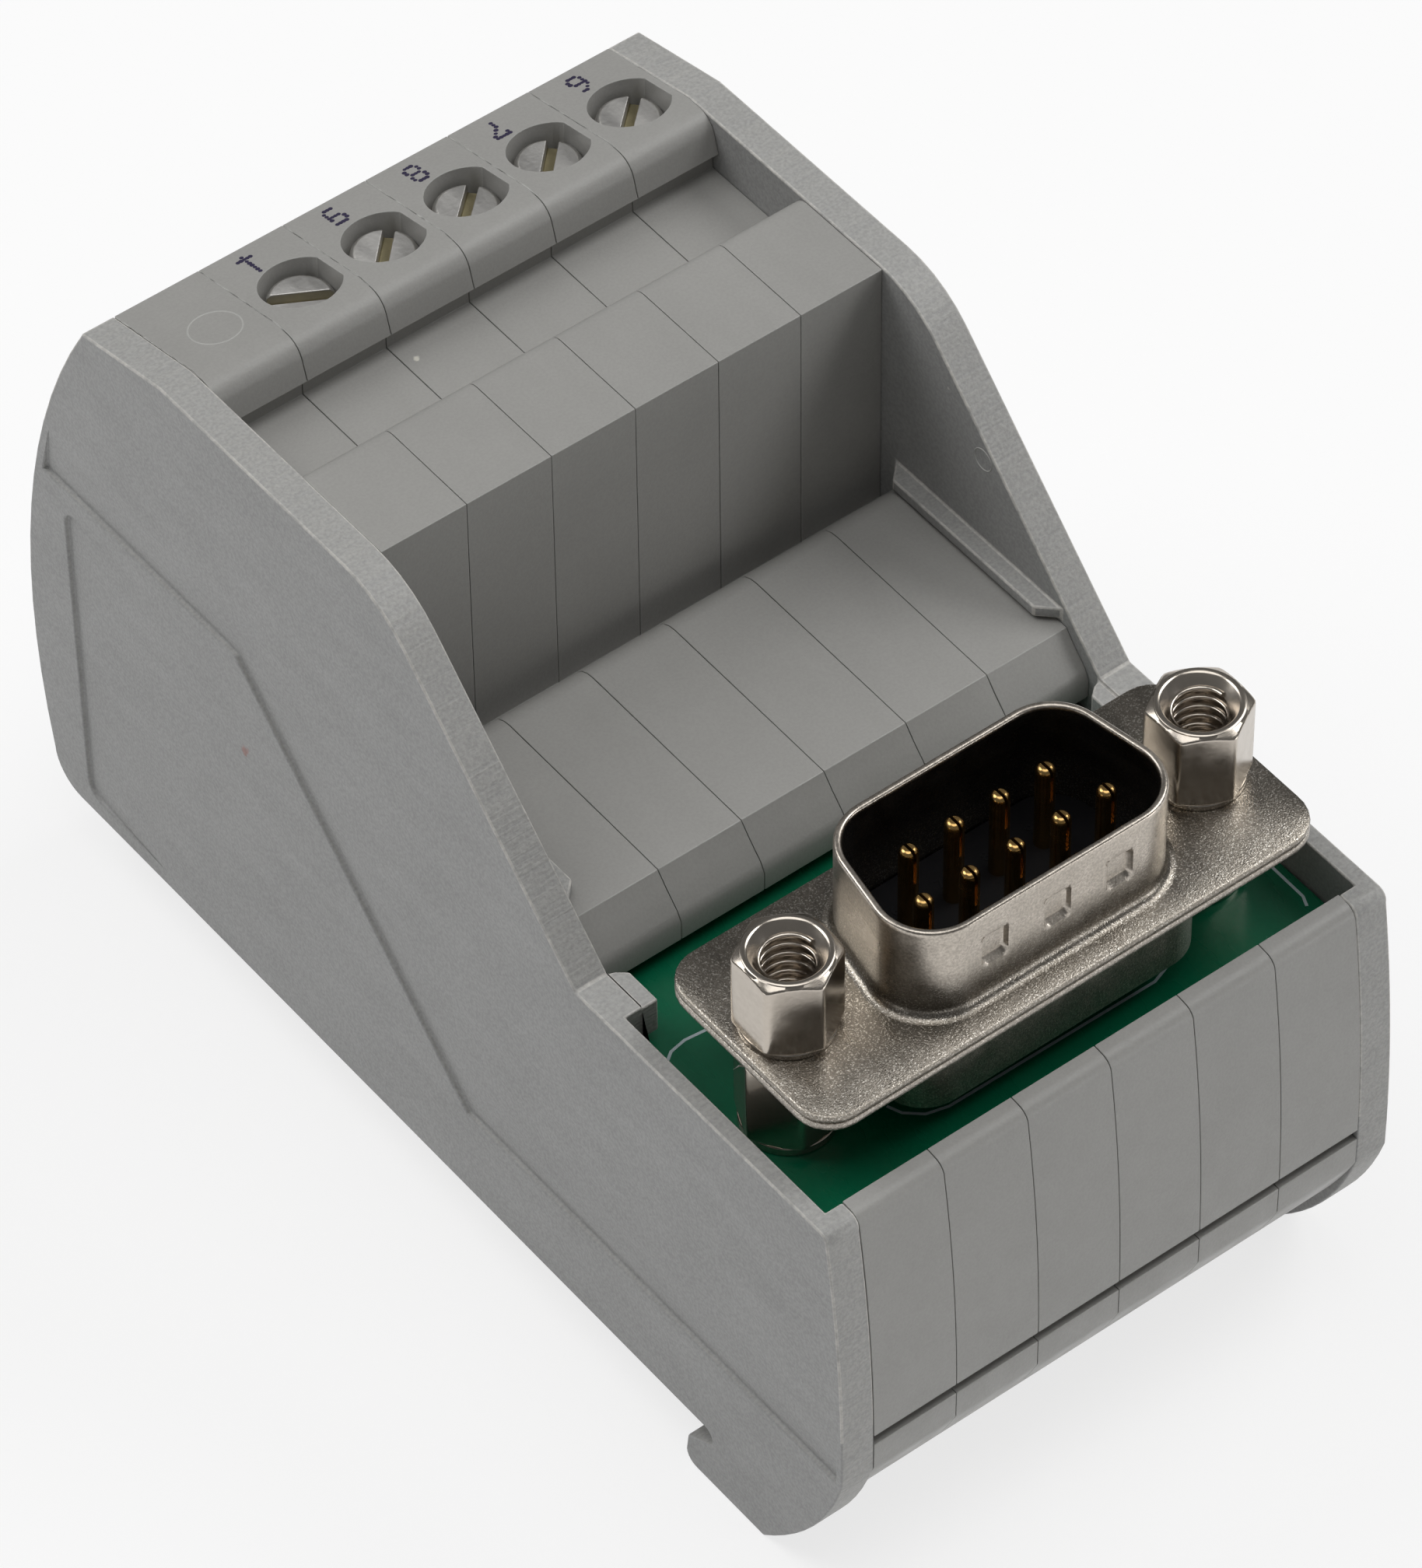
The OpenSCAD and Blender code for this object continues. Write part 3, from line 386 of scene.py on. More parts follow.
def meshOf(shape, name, angle=35, recalc=True):
    if recalc:
        bmesh.ops.recalc_face_normals(shape, faces=shape.faces)
    mesh = bpy.data.meshes.new(name)
    shape.to_mesh(mesh)
    shape.free()
    for face in mesh.polygons:
        face.use_smooth = True
    mesh.set_sharp_from_angle(angle=math.radians(angle))
    return mesh


def addPoint(shape, x, y, z):  # a vertex, from millimetres
    return shape.verts.new((x * mm, y * mm, z * mm))


def turnsOf(steps):  # angles round a full circle
    return [2 * math.pi * step / steps for step in range(steps)]


def ringAt(shape, radius, height, steps):
    return [addPoint(shape, radius * math.cos(turn), radius * math.sin(turn), height) for turn in turnsOf(steps)]


def bridge(shape, rings, across=False, loop=False):  # walls between rings of vertices
    for first, second in zip(rings, rings[1:] + rings[:1] if loop else rings[1:]):
        for index in range(len(first)):
            following = (index + 1) % len(first)
            if across:
                shape.faces.new((first[index], second[index], second[following], first[following]))
            else:
                shape.faces.new((first[index], first[following], second[following], second[index]))


def middleOf(node):
    low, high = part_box(node)
    return (low + high) / 2


def cleanCopy(node):  # one closed mesh from a CAD node's loose triangles
    shape = bmesh.new()
    shape.from_mesh(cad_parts[node].data)
    bmesh.ops.remove_doubles(shape, verts=shape.verts, dist=0.002 * mm)
    bmesh.ops.dissolve_limit(
        shape, angle_limit=math.radians(0.6), verts=shape.verts, edges=shape.edges, delimit={"NORMAL"}
    )
    return shape


def applied(draft):  # the evaluated object as a plain mesh, its modifiers gone
    draft.update_tag()
    view = bpy.context.evaluated_depsgraph_get()
    result = bpy.data.meshes.new_from_object(draft.evaluated_get(view))
    bpy.data.objects.remove(draft)
    return result


def roundedCopy(node, width, segments=2, angle=32):  # edges rounded, and marked in the attribute rim
    shape = cleanCopy(node)
    mesh = bpy.data.meshes.new("raw")
    shape.to_mesh(mesh)
    shape.free()
    for face in mesh.polygons:
        face.use_smooth = True
    mesh.materials.append(finishes["burrGrey"])
    mesh.materials.append(finishes["nickel"])
    draft = addObject("draft", mesh)
    bevel = draft.modifiers.new("edges", "BEVEL")
    bevel.width = width * mm
    bevel.segments = segments
    bevel.limit_method = "ANGLE"
    bevel.angle_limit = math.radians(angle)
    bevel.use_clamp_overlap = False
    bevel.material = 1
    normals = draft.modifiers.new("normals", "WEIGHTED_NORMAL")
    normals.weight = 90
    result = applied(draft)
    rim = result.attributes.new("rim", "FLOAT", "FACE")
    for index, face in enumerate(result.polygons):
        rim.data[index].value = float(face.material_index == 1)
        face.material_index = 0
    return result


def roundedPath(corners, radius, count):  # points and outward normals round a closed outline
    runs = []
    for index, corner in enumerate(corners):
        before, after = corners[index - 1], corners[(index + 1) % len(corners)]
        u, v = (before - corner).normalized(), (after - corner).normalized()
        half = u.angle(v) / 2
        reach = radius / math.tan(half)
        centre = corner + (u + v).normalized() * radius / math.sin(half)
        start = corner + u * reach - centre
        runs.append(("arc", centre, math.atan2(start.y, start.x), math.pi - 2 * half, radius * (math.pi - 2 * half)))
        begin = corner + v * reach
        w = (corners[(index + 2) % len(corners)] - after).normalized()
        nextHalf = (corner - after).angle(w) / 2
        end = after + (corner - after).normalized() * radius / math.tan(nextHalf)
        normal = Vector(((end - begin).y, -(end - begin).x)).normalized()
        runs.append(("line", begin, end, normal, (end - begin).length))
    total = sum(run[-1] for run in runs)
    points = []
    for step in range(count):
        place = total * step / count
        for run in runs:
            if place <= run[-1]:
                break
            place -= run[-1]
        share = place / run[-1]
        if run[0] == "arc":
            angle = run[2] + run[3] * share
            normal = Vector((math.cos(angle), math.sin(angle)))
            points.append((run[1] + normal * radius, normal))
        else:
            points.append((run[1].lerp(run[2], share), run[3]))
    return points


def sweepRing(shape, path, profile, middle, push=None):  # sweeps a closed profile of (outward, height) round a path
    rings = []
    for point, normal in path:
        ring = []
        for outward, height in profile:
            inset = push(point, normal, height) if push else 0.0
            place = point + normal * (outward - inset)
            ring.append(addPoint(shape, middle[0] + place.x, middle[1] + place.y, middle[2] + height))
        rings.append(ring)
    bridge(shape, rings, across=True, loop=True)


def addPlate(shape, outline, holes, low, high, edge, middle):  # flat sheet with rounded edges and plain holes
    steps = [(-edge, high), (-0.3 * edge, high - 0.3 * edge), (0.0, high - edge), (0.0, low + edge),
             (-0.3 * edge, low + 0.3 * edge), (-edge, low)]
    loops = {"top": [], "bottom": []}
    for path, rows in [(outline, steps)] + [(hole, [(0.0, high), (0.0, low)]) for hole in holes]:
        rings = []
        for outward, height in rows:
            places = [point + normal * outward for point, normal in path]
            rings.append([
                addPoint(shape, middle[0] + place.x, middle[1] + place.y, middle[2] + height) for place in places
            ])
        bridge(shape, rings)
        for key, ring in (("top", rings[0]), ("bottom", rings[-1])):
            loops[key] += [shape.edges.get((ring[i], ring[(i + 1) % len(ring)])) for i in range(len(ring))]
    for key in loops:
        bmesh.ops.triangle_fill(shape, use_beauty=True, use_dissolve=False, edges=loops[key])


# housing

housingDesk = {
    "plateEdge": 0.11, "sliceEdge": 0.04, "latchEdge": 0.12, "boardEdge": 0.04,
    "rubbed": {"shift": 13.45, "low": 10.03, "high": 28.15, "clear": 4.2},  # line over which a plate's rim stays lighter: painted highlight along the upper outline, with rubbed wear
}


def dressHousing():
    rubbed = housingDesk["rubbed"]
    for side in ("left", "right"):
        node = side + "_side_plate"
        mesh = roundedCopy(node, housingDesk["plateEdge"])
        rim = mesh.attributes["rim"]
        for index, face in enumerate(mesh.polygons):  # painted highlight: only rim faces above a sloping line, on the plate's own upper outline, keep the lighter colour, with rubbed wear
            line = min(max(face.center.y / mm + rubbed["shift"], rubbed["low"]), rubbed["high"])
            if face.center.z / mm < line + rubbed["clear"]:
                rim.data[index].value = 0.0
        addPiece(side + "Plate", mesh, "plateGrey", replaced=[node])
    for index in range(1, 7):
        node = f"housing_slice_{index}"
        mesh = roundedCopy(node, housingDesk["sliceEdge"])
        addPiece(f"slice{index}", mesh, "sliceGrey", replaced=[node])
    mesh = roundedCopy("rail_latch", housingDesk["latchEdge"])
    addPiece("latch", mesh, "latchGrey", "rail_latch", ["rail_latch"])
    mesh = roundedCopy("circuit_board", housingDesk["boardEdge"], 1)
    addPiece("board", mesh, "boardGreen", replaced=["circuit_board"])


dressHousing()
print("housing dressed")

# plug

plugDesk = {
    "rise": 5.9, "wall": 0.4, "sheet": 0.5, "lean": 10.0, "steps": 420,
    "front": {"width": 17.72, "depth": 9.16, "corner": 3.0, "fillet": 0.55},
    "rear": {"width": 19.2, "depth": 10.7, "corner": 2.4, "fillet": 0.45, "drop": 4.1},
    "flange": {"width": 30.8, "depth": 12.5, "corner": 2.0, "edge": 0.14, "hole": 1.6, "steps": 160, "holeSteps": 32},
    "dimples": {"places": (-3.76, 0.0, 3.76), "width": 1.62, "low": 2.3, "high": 4.35, "deep": 0.3},
    "hexOff": 12.495, "wallStep": 0.16, "wallRows": 36, "lip": 0.2,
}
shellLow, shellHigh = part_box("connector_front_shell")
plugMiddle = (
    (shellLow.x + shellHigh.x) / 2 / mm, (shellLow.y + shellHigh.y) / 2 / mm, shellHigh.z / mm - plugDesk["rise"],
)


def dPath(width, depth, corner):
    narrow = width / 2 - depth * math.tan(math.radians(plugDesk["lean"]))
    corners = [(-width / 2, -depth / 2), (width / 2, -depth / 2), (narrow, depth / 2), (-narrow, depth / 2)]
    return roundedPath([Vector(place) for place in corners], corner, plugDesk["steps"])


def dimplePush(point, normal, height):  # how far a dimple pushes the wall in at a place
    desk = plugDesk["dimples"]
    if normal.y > -0.98:
        return 0.0
    middle = (desk["low"] + desk["high"]) / 2
    share = 0.0
    for place in desk["places"]:
        across = abs(point.x - place) / (desk["width"] / 2)
        along = abs(height - middle) / ((desk["high"] - desk["low"]) / 2)
        away = (across ** 7 + along ** 7) ** (1 / 7)
        share = max(share, min(1.0, max(0.0, (1.0 - away) * 5)))
    return desk["deep"] * share * share * (3 - 2 * share)


def quarterRound(radius, count):  # the fillet from a wall out to the sheet under it
    angles = [math.pi / 2 * index / count for index in range(1, count + 1)]
    return [(radius * (1 - math.cos(angle)), radius * (1 - math.sin(angle))) for angle in angles]


def makeFrontShell():
    wall, rise, sheet, desk = plugDesk["wall"], plugDesk["rise"], plugDesk["sheet"], plugDesk["front"]
    fillet = desk["fillet"]
    rows = [plugDesk["wallStep"] * step for step in range(plugDesk["wallRows"])]
    inner = [(-wall, -sheet)] + [(-wall, height) for height in rows]
    rim = [(-wall, rise - 0.13), (-wall + 0.05, rise - 0.04), (-wall + 0.13, rise), (-0.13, rise),
           (-0.05, rise - 0.04), (0.0, rise - 0.13)]
    outer = [(0.0, height) for height in reversed(rows) if height > fillet + 0.05]
    foot = [(0.0, fillet)] + quarterRound(fillet, 6) + [(fillet, -0.05), (0.0, -sheet)]
    shape = bmesh.new()
    path = dPath(desk["width"], desk["depth"], desk["corner"])
    sweepRing(shape, path, inner + rim + outer + foot, plugMiddle, dimplePush)
    addFlange(shape, -sheet, 0.0)
    mesh = meshOf(shape, "frontShell")
    middle = middleOf("connector_front_shell")
    depth = mesh.attributes.new("depth", "FLOAT", "POINT")
    for index, vertex in enumerate(mesh.vertices):  # painted shade: the inside walls below the lip take the dark deep colour
        away = vertex.co - middle
        facing = vertex.normal.x * away.x + vertex.normal.y * away.y
        inside = facing < -0.3 * away.xy.length and vertex.co.z < shellHigh.z - plugDesk["lip"] * mm
        depth.data[index].value = float(inside)
    addPiece("frontShell", mesh, "shellNickel", replaced=["connector_front_shell"])


def addFlange(shape, low, high):
    desk = plugDesk["flange"]
    x, y = desk["width"] / 2, desk["depth"] / 2
    corners = [Vector(place) for place in ((-x, -y), (x, -y), (x, y), (-x, y))]
    outline = roundedPath(corners, desk["corner"], desk["steps"])
    front = plugDesk["front"]
    mouth = dPath(front["width"], front["depth"], front["corner"])[::4]
    holes = [[(point - normal * 0.2, normal) for point, normal in mouth]]
    radius, turns = desk["hole"], turnsOf(desk["holeSteps"])
    for side in (-plugDesk["hexOff"], plugDesk["hexOff"]):
        places = [Vector((side + radius * math.cos(turn), radius * math.sin(turn))) for turn in turns]
        holes.append([(place, Vector((0.0, 0.0))) for place in places])
    addPlate(shape, outline, holes, low, high, desk["edge"], plugMiddle)


def makeRearShell():
    wall, sheet, desk = plugDesk["wall"], plugDesk["sheet"], plugDesk["rear"]
    top, low, fillet = -2 * sheet, -2 * sheet - desk["drop"], desk["fillet"]
    foot = [(0.0, low + 0.1), (0.0, top - fillet)]
    foot += [(outward, top - height) for outward, height in quarterRound(fillet, 5)]
    profile = [(-wall, low)] + [(-0.1, low)] + foot + [(fillet, top + 0.05), (-wall, top + 0.1)]
    shape = bmesh.new()
    sweepRing(shape, dPath(desk["width"], desk["depth"], desk["corner"]), profile, plugMiddle)
    addFlange(shape, -2 * sheet, -sheet)
    addPiece("rearShell", meshOf(shape, "rearShell"), "sandNickel", replaced=["connector_rear_shell"])


makeFrontShell()
makeRearShell()
print("plug shells made")

# Geometry Nodes helpers


class TreeDesk:
    def __init__(self, name, inputs):
        self.tree = bpy.data.node_groups.new(name, "GeometryNodeTree")
        self.tree.interface.new_socket(name="Geometry", in_out="INPUT", socket_type="NodeSocketGeometry")
        self.tree.interface.new_socket(name="Geometry", in_out="OUTPUT", socket_type="NodeSocketGeometry")
        self.keys = {}
        for label, kind in {**inputs, "Finish": "Material"}.items():
            socket = self.tree.interface.new_socket(name=label, in_out="INPUT", socket_type="NodeSocket" + kind)
            self.keys[label] = socket.identifier
        self.given = self.tree.nodes.new("NodeGroupInput").outputs
        self.result = self.tree.nodes.new("NodeGroupOutput")

    def node(self, kind, links=(), **values):
        return addNode(self.tree, kind, links, **values)

    def close(self, geometry):
        real = self.node("GeometryNodeRealizeInstances", {"Geometry": geometry})
        coloured = self.node(
            "GeometryNodeSetMaterial", {"Geometry": real.outputs[0], "Material": self.given["Finish"]}
        )
        self.tree.links.new(coloured.outputs[0], self.result.inputs["Geometry"])

    def run(self, mesh, material, values):
        draft = addObject("draft", mesh)
        modifier = draft.modifiers.new("tree", "NODES")
        modifier.node_group = self.tree
        for label, value in {**values, "Finish": finishes[material]}.items():
            modifier[self.keys[label]] = value
        return applied(draft)


def pointMesh(name, points, edges=()):
    mesh = bpy.data.meshes.new(name)
    mesh.from_pydata([[value * mm for value in point] for point in points], list(edges), [])
    return mesh


# contacts

contactDesk = {
    "radius": 0.5, "slot": 0.17, "slotDeep": 2.1, "nose": 0.4, "tip": 0.2, "tail": 0.35, "overBoard": 2.0,
    "sides": 20, "halfSides": 10, "noseSteps": 5,
}


def pinMesh(low, root, tip):  # a rolled pin with a round slotted nose, at the origin, heights in mm
    desk = contactDesk
    shape = bmesh.new()
    split, shoulder = tip - desk["slotDeep"], tip - desk["nose"]
    rows = ((desk["tail"], low), (desk["tail"], root), (desk["radius"], root), (desk["radius"], split))
    rings = [ringAt(shape, radius, height, desk["sides"]) for radius, height in rows]
    bridge(shape, rings)
    shape.faces.new(rings[0])
    shape.faces.new(rings[-1])
    for side in (-1, 1):
        levels = [(desk["radius"], split - 0.02), (desk["radius"], shoulder)]
        for step in range(1, desk["noseSteps"] + 1):
            angle = math.pi / 2 * step / desk["noseSteps"]
            radius = desk["tip"] + (desk["radius"] - desk["tip"]) * math.cos(angle)
            levels.append((radius, tip - desk["nose"] * (1 - math.sin(angle))))
        halves = []
        for radius, height in levels:
            ring = []
            for step in range(desk["halfSides"] + 1):
                angle = -math.pi / 2 + math.pi * step / desk["halfSides"]
                across = max(desk["slot"] / 2, radius * math.cos(angle))
                ring.append(addPoint(shape, side * across, radius * math.sin(angle), height))
            halves.append(ring)
        bridge(shape, halves)
        shape.faces.new(halves[0])
        shape.faces.new(halves[-1])
    return meshOf(shape, "pin", 40)


def contactTree():  # two rows of the same pin
    desk = TreeDesk("contactRows", {
        "Pin": "Object", "Long Row": "Int", "Short Row": "Int", "Pitch": "Float", "Long Start": "Vector",
        "Short Start": "Vector",
    })
    step = desk.node("ShaderNodeCombineXYZ", {"X": desk.given["Pitch"]})
    rows = []
    for count, start in (("Long Row", "Long Start"), ("Short Row", "Short Start")):
        rows.append(desk.node("GeometryNodeMeshLine", {
            "Count": desk.given[count], "Start Location": desk.given[start], "Offset": step.outputs[0],
        }).outputs[0])
    joined = desk.node("GeometryNodeJoinGeometry")
    for row in rows:
        desk.tree.links.new(row, joined.inputs[0])
    pin = desk.node("GeometryNodeObjectInfo", {"Object": desk.given["Pin"]})
    placed = desk.node("GeometryNodeInstanceOnPoints", {
        "Points": joined.outputs[0], "Instance": pin.outputs["Geometry"],
    })
    desk.close(placed.outputs[0])
    return desk


def makeContacts():
    places = [middleOf(f"contact_{index}") for index in range(1, 10)]
    rows = {}
    for place in places:
        rows.setdefault(round(place.y / mm, 1), []).append(place)
    shortRow, longRow = sorted(rows.values(), key=len)
    pitch = (max(place.x for place in longRow) - min(place.x for place in longRow)) / (len(longRow) - 1)
    low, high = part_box("contact_1")
    pin = addObject("pin", pinMesh(low.z / mm, boardTop + contactDesk["overBoard"], high.z / mm))
    mesh = contactTree().run(pointMesh("contacts", [(0, 0, 0)]), "gold", {
        "Pin": pin, "Long Row": len(longRow), "Short Row": len(shortRow), "Pitch": pitch,
        "Long Start": (min(place.x for place in longRow), longRow[0].y, 0.0),
        "Short Start": (min(place.x for place in shortRow), shortRow[0].y, 0.0),
    })
    bpy.data.objects.remove(pin)
    addPiece("contactPins", mesh, "gold", replaced=[f"contact_{index}" for index in range(1, 10)])


makeContacts()
print("contacts made")

# insulator with its moulded contact numbers

numberDesk = {"size": 0.85, "relief": 0.05, "shift": 0.95}
insulatorDesk = {"gap": 0.06, "edge": 0.06, "top": -0.3, "under": 0.25, "step": 0.04,
                 "block": {"width": 15.0, "depth": 6.2, "corner": 1.0, "low": -6.58}}


def textMesh(words, size, thick):
    curve = bpy.data.curves.new("words", "FONT")
    curve.body = words
    curve.size = size * mm
    curve.extrude = thick / 2 * mm
    curve.align_x, curve.align_y = "CENTER", "CENTER"
    curve.resolution_u = 2
    return applied(addObject("draft", curve))


def makeInsulator():
    desk, sheet, front, rear = insulatorDesk, plugDesk["sheet"], plugDesk["front"], plugDesk["rear"]
    wall = plugDesk["wall"] + desk["gap"]
    foot = -2 * sheet - rear["drop"]
    blocks = (
        (front, -2 * sheet, desk["top"]),
        (rear, foot - desk["under"], -sheet - desk["step"]),
        (desk["block"], desk["block"]["low"], foot),
    )
    shape, body = bmesh.new(), bmesh.new()
    for block, low, high in blocks:
        path = dPath(block["width"] - 2 * wall, block["depth"] - 2 * wall, block["corner"] - wall)[::3]
        addPlate(body, path, [], low, high, desk["edge"], plugMiddle)
    mesh = meshOf(body, "insulator")
    addPiece("insulator", mesh, "blackPlastic", replaced=["connector_insulator"])
    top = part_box("connector_insulator")[1].z
    for index in range(1, 10):
        middle = middleOf(f"contact_{index}")
        digit = textMesh(str(index), numberDesk["size"], numberDesk["relief"])
        side = 1 if index <= 5 else -1
        for vert in digit.vertices:
            vert.co += Vector((middle.x, middle.y - side * numberDesk["shift"] * mm, top))
        shape.from_mesh(digit)
    addPiece("insulatorNumbers", meshOf(shape, "insulatorNumbers", recalc=False), "blackPlastic")


makeInsulator()
print("insulator made")

# jackscrews and standoffs

hexDesk = {
    "across": 4.76, "ring": 2.25, "collar": 2.45, "chamfer": 0.26, "mouth": 1.89, "mouthDeep": 0.6, "soft": 0.035,
    "stud": 1.4, "studLong": 4.0, "turns": {"jackscrew": 29.0, "standoff": 5.5},
    "seat": 0.01, "collarHigh": {"jackscrew": 0.35, "standoff": 0.5}, "neck": 0.09,
    "threadPitch": 0.635, "threadTurns": 6, "threadRadius": 1.42, "ridge": 0.16, "below": 0.5, "deep": 4.4,
}


def hexRadius(angle, turn, height, low, high):  # hexagon whose corners are turned down at both ends, softly blended
    desk = hexDesk
    local = (math.degrees(angle) - turn) % 60 - 30
    flat = desk["across"] / 2 / math.cos(math.radians(local))
    corner = desk["across"] / 2 / math.cos(math.radians(30))
    slope = (corner - desk["ring"]) / desk["chamfer"]
    limits = [flat, corner - 0.04, desk["ring"] + (high - height) * slope, desk["collar"] + (height - low) * slope]
    least = min(limits)
    return least - desk["soft"] * math.log(sum(math.exp((least - limit) / desk["soft"]) for limit in limits))


# a turned part: a row is (radius, height), or (None, height, low, high) for the hexagon
def hexPart(shape, x, y, rows, turn, steps=120):
    rings = []
    for row in rows:
        ring = []
        for angle in turnsOf(steps):
            radius = hexRadius(angle, turn, *row[1:]) if row[0] is None else row[0]
            ring.append(addPoint(shape, x + radius * math.cos(angle), y + radius * math.sin(angle), row[1]))
        rings.append(ring)
    bridge(shape, rings)
    for ring in (rings[0], rings[-1]):
        hub = shape.verts.new((x * mm, y * mm, ring[0].co.z))
        for step in range(steps):
            shape.faces.new((ring[step], ring[(step + 1) % steps], hub))


def hexRows(low, high):
    desk = hexDesk
    steps = [desk["chamfer"] * 1.5 * index / 8 for index in range(9)]
    heights = [low + step for step in steps] + [high - step for step in reversed(steps)]
    return [(None, height, low, high) for height in heights]


def makeHex(kind, side):
    desk = hexDesk
    low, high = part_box(f"{kind}_{side}")
    x, y = (low.x + high.x) / 2 / mm, (low.y + high.y) / 2 / mm
    low, high = low.z / mm, high.z / mm
    if kind == "jackscrew":
        seat, stud = plugMiddle[2] + desk["seat"], desk["stud"]
        inner = [(desk["mouth"] + 0.16, high), (desk["mouth"] + 0.07, high - 0.02), (desk["mouth"], high - 0.07),
                 (desk["threadRadius"], high - desk["mouthDeep"]), (desk["threadRadius"], high - desk["deep"])]
    else:
        seat, stud = boardTop + desk["seat"], desk["stud"] + 0.05
        inner = [(stud, high), (stud, high - desk["studLong"])]
    collar, collarTop = desk["collar"], seat + desk["collarHigh"][kind]
    rows = [(stud, low), (stud, seat), (collar - 0.05, seat), (collar, seat + 0.05),
            (collar, collarTop - 0.04), (collar - 0.04, collarTop)]
    rows += hexRows(collarTop, high - desk["neck"])
    rows += [(desk["ring"] - 0.03, high - 0.03), (desk["ring"] - 0.1, high)] + inner
    shape = bmesh.new()
    hexPart(shape, x, y, rows, desk["turns"][kind])
    addPiece(kind + side.capitalize(), meshOf(shape, kind), "nickel", replaced=[f"{kind}_{side}"])


def threadTree():  # a helical ridge inside each jackscrew
    desk = TreeDesk("threads", {
        "Turns": "Float", "Radius": "Float", "Pitch": "Float",
        "Ridge": "Float",
    })
    tall = desk.node("ShaderNodeMath", {
        0: desk.given["Turns"], 1: desk.given["Pitch"],
    }, operation="MULTIPLY")
    spiral = desk.node("GeometryNodeCurveSpiral", {
        "Resolution": 28, "Rotations": desk.given["Turns"], "Start Radius": desk.given["Radius"],
        "End Radius": desk.given["Radius"], "Height": tall.outputs[0],
    })
    ridge = desk.node("GeometryNodeCurvePrimitiveCircle", {"Resolution": 6, "Radius": desk.given["Ridge"]})
    swept = desk.node("GeometryNodeCurveToMesh", {
        "Curve": spiral.outputs[0], "Profile Curve": ridge.outputs[0], "Fill Caps": True,
    })
    placed = desk.node("GeometryNodeInstanceOnPoints", {
        "Points": desk.given["Geometry"], "Instance": swept.outputs[0],
    })
    desk.close(placed.outputs[0])
    return desk


def dressHexes():
    places = []
    for side in ("left", "right"):
        for kind in ("jackscrew", "standoff"):
            makeHex(kind, side)
        middle, top = middleOf(f"jackscrew_{side}"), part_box(f"jackscrew_{side}")[1].z / mm
        bottom = top - hexDesk["below"] - hexDesk["threadPitch"] * hexDesk["threadTurns"]
        places.append((middle.x / mm, middle.y / mm, bottom))
    mesh = threadTree().run(pointMesh("threads", places), "nickel", {
        "Turns": float(hexDesk["threadTurns"]), "Radius": hexDesk["threadRadius"] * mm,
        "Pitch": hexDesk["threadPitch"] * mm, "Ridge": hexDesk["ridge"] * mm,
    })
    addPiece("jackThreads", mesh, "nickel")


dressHexes()
print("jackscrews and standoffs made")

# terminals

screwDesk = {"edge": 0.06}


def dressTerminals():
    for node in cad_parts:
        if "_screw_" in node:
            mesh = roundedCopy(node, screwDesk["edge"], 1)
            top = max(vert.co.z for vert in mesh.vertices)
            # depth below the head's top, for the painted shade on the slot's floor
            depth = mesh.attributes.new("depth", "FLOAT", "POINT")
            for index, vert in enumerate(mesh.vertices):
                depth.data[index].value = (top - vert.co.z) / mm
            addPiece(node.replace("_", ""), mesh, "zincSteel", node, [node])
        elif "_cage_" in node or "_bar_" in node:
            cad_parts[node].data.materials.clear()
            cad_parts[node].data.materials.append(finishes["clampTin"])


dressTerminals()
print("terminals dressed")

# printed labels in a matrix of dots, read from the back

topDesk = {"height": 43.05, "crease": 19.593, "back": 26.193, "drop": 1.5}
labelDesk = {"dot": 0.128, "step": (0.185, 0.23), "thick": 0.012}
labelShapes = {
    "six": (12.28, 24.77, ["..##.", ".#...", "#....", "####.", "#...#", "#...#", ".###."]),
    "seven": (7.02, 24.7, ["#####", "#...#", "...#.", "..#..", ".#...", ".#...", ".#..."]),
    "eight": (2.07, 24.74, [".###.", "#...#", "#...#", ".###.", "#...#", "#...#", ".###."]),
    "nine": (-2.81, 24.83, [".####", "#....", "#...#", ".####", "....#", "....#", ".###."]),
    "earth": (-8.09, 24.65, ["..#..", "..#..", "..#..", "..#..", "..#..", "..#..", "#####", "..#.."]),
}


def topAt(y):
    if y < topDesk["crease"]:
        return topDesk["height"]
    return topDesk["height"] - topDesk["drop"] * (y - topDesk["crease"]) / (topDesk["back"] - topDesk["crease"])


def dotTree():  # one round dot of ink on every point
    desk = TreeDesk("inkDots", {
        "Dot": "Float", "Thick": "Float", "Tilt": "Vector", "Seed": "Int",
    })
    disc = desk.node("GeometryNodeMeshCylinder", {
        "Vertices": 8, "Radius": desk.given["Dot"], "Depth": desk.given["Thick"],
    })
    turn = desk.node("FunctionNodeEulerToRotation", {0: desk.given["Tilt"]})
    size = desk.node("FunctionNodeRandomValue", {"Seed": desk.given["Seed"]}, data_type="FLOAT")
    size.inputs[2].default_value, size.inputs[3].default_value = 0.85, 1.15
    placed = desk.node("GeometryNodeInstanceOnPoints", {
        "Points": desk.given["Geometry"], "Instance": disc.outputs[0], "Rotation": turn.outputs[0],
        "Scale": size.outputs[1],
    })
    desk.close(placed.outputs[0])
    return desk


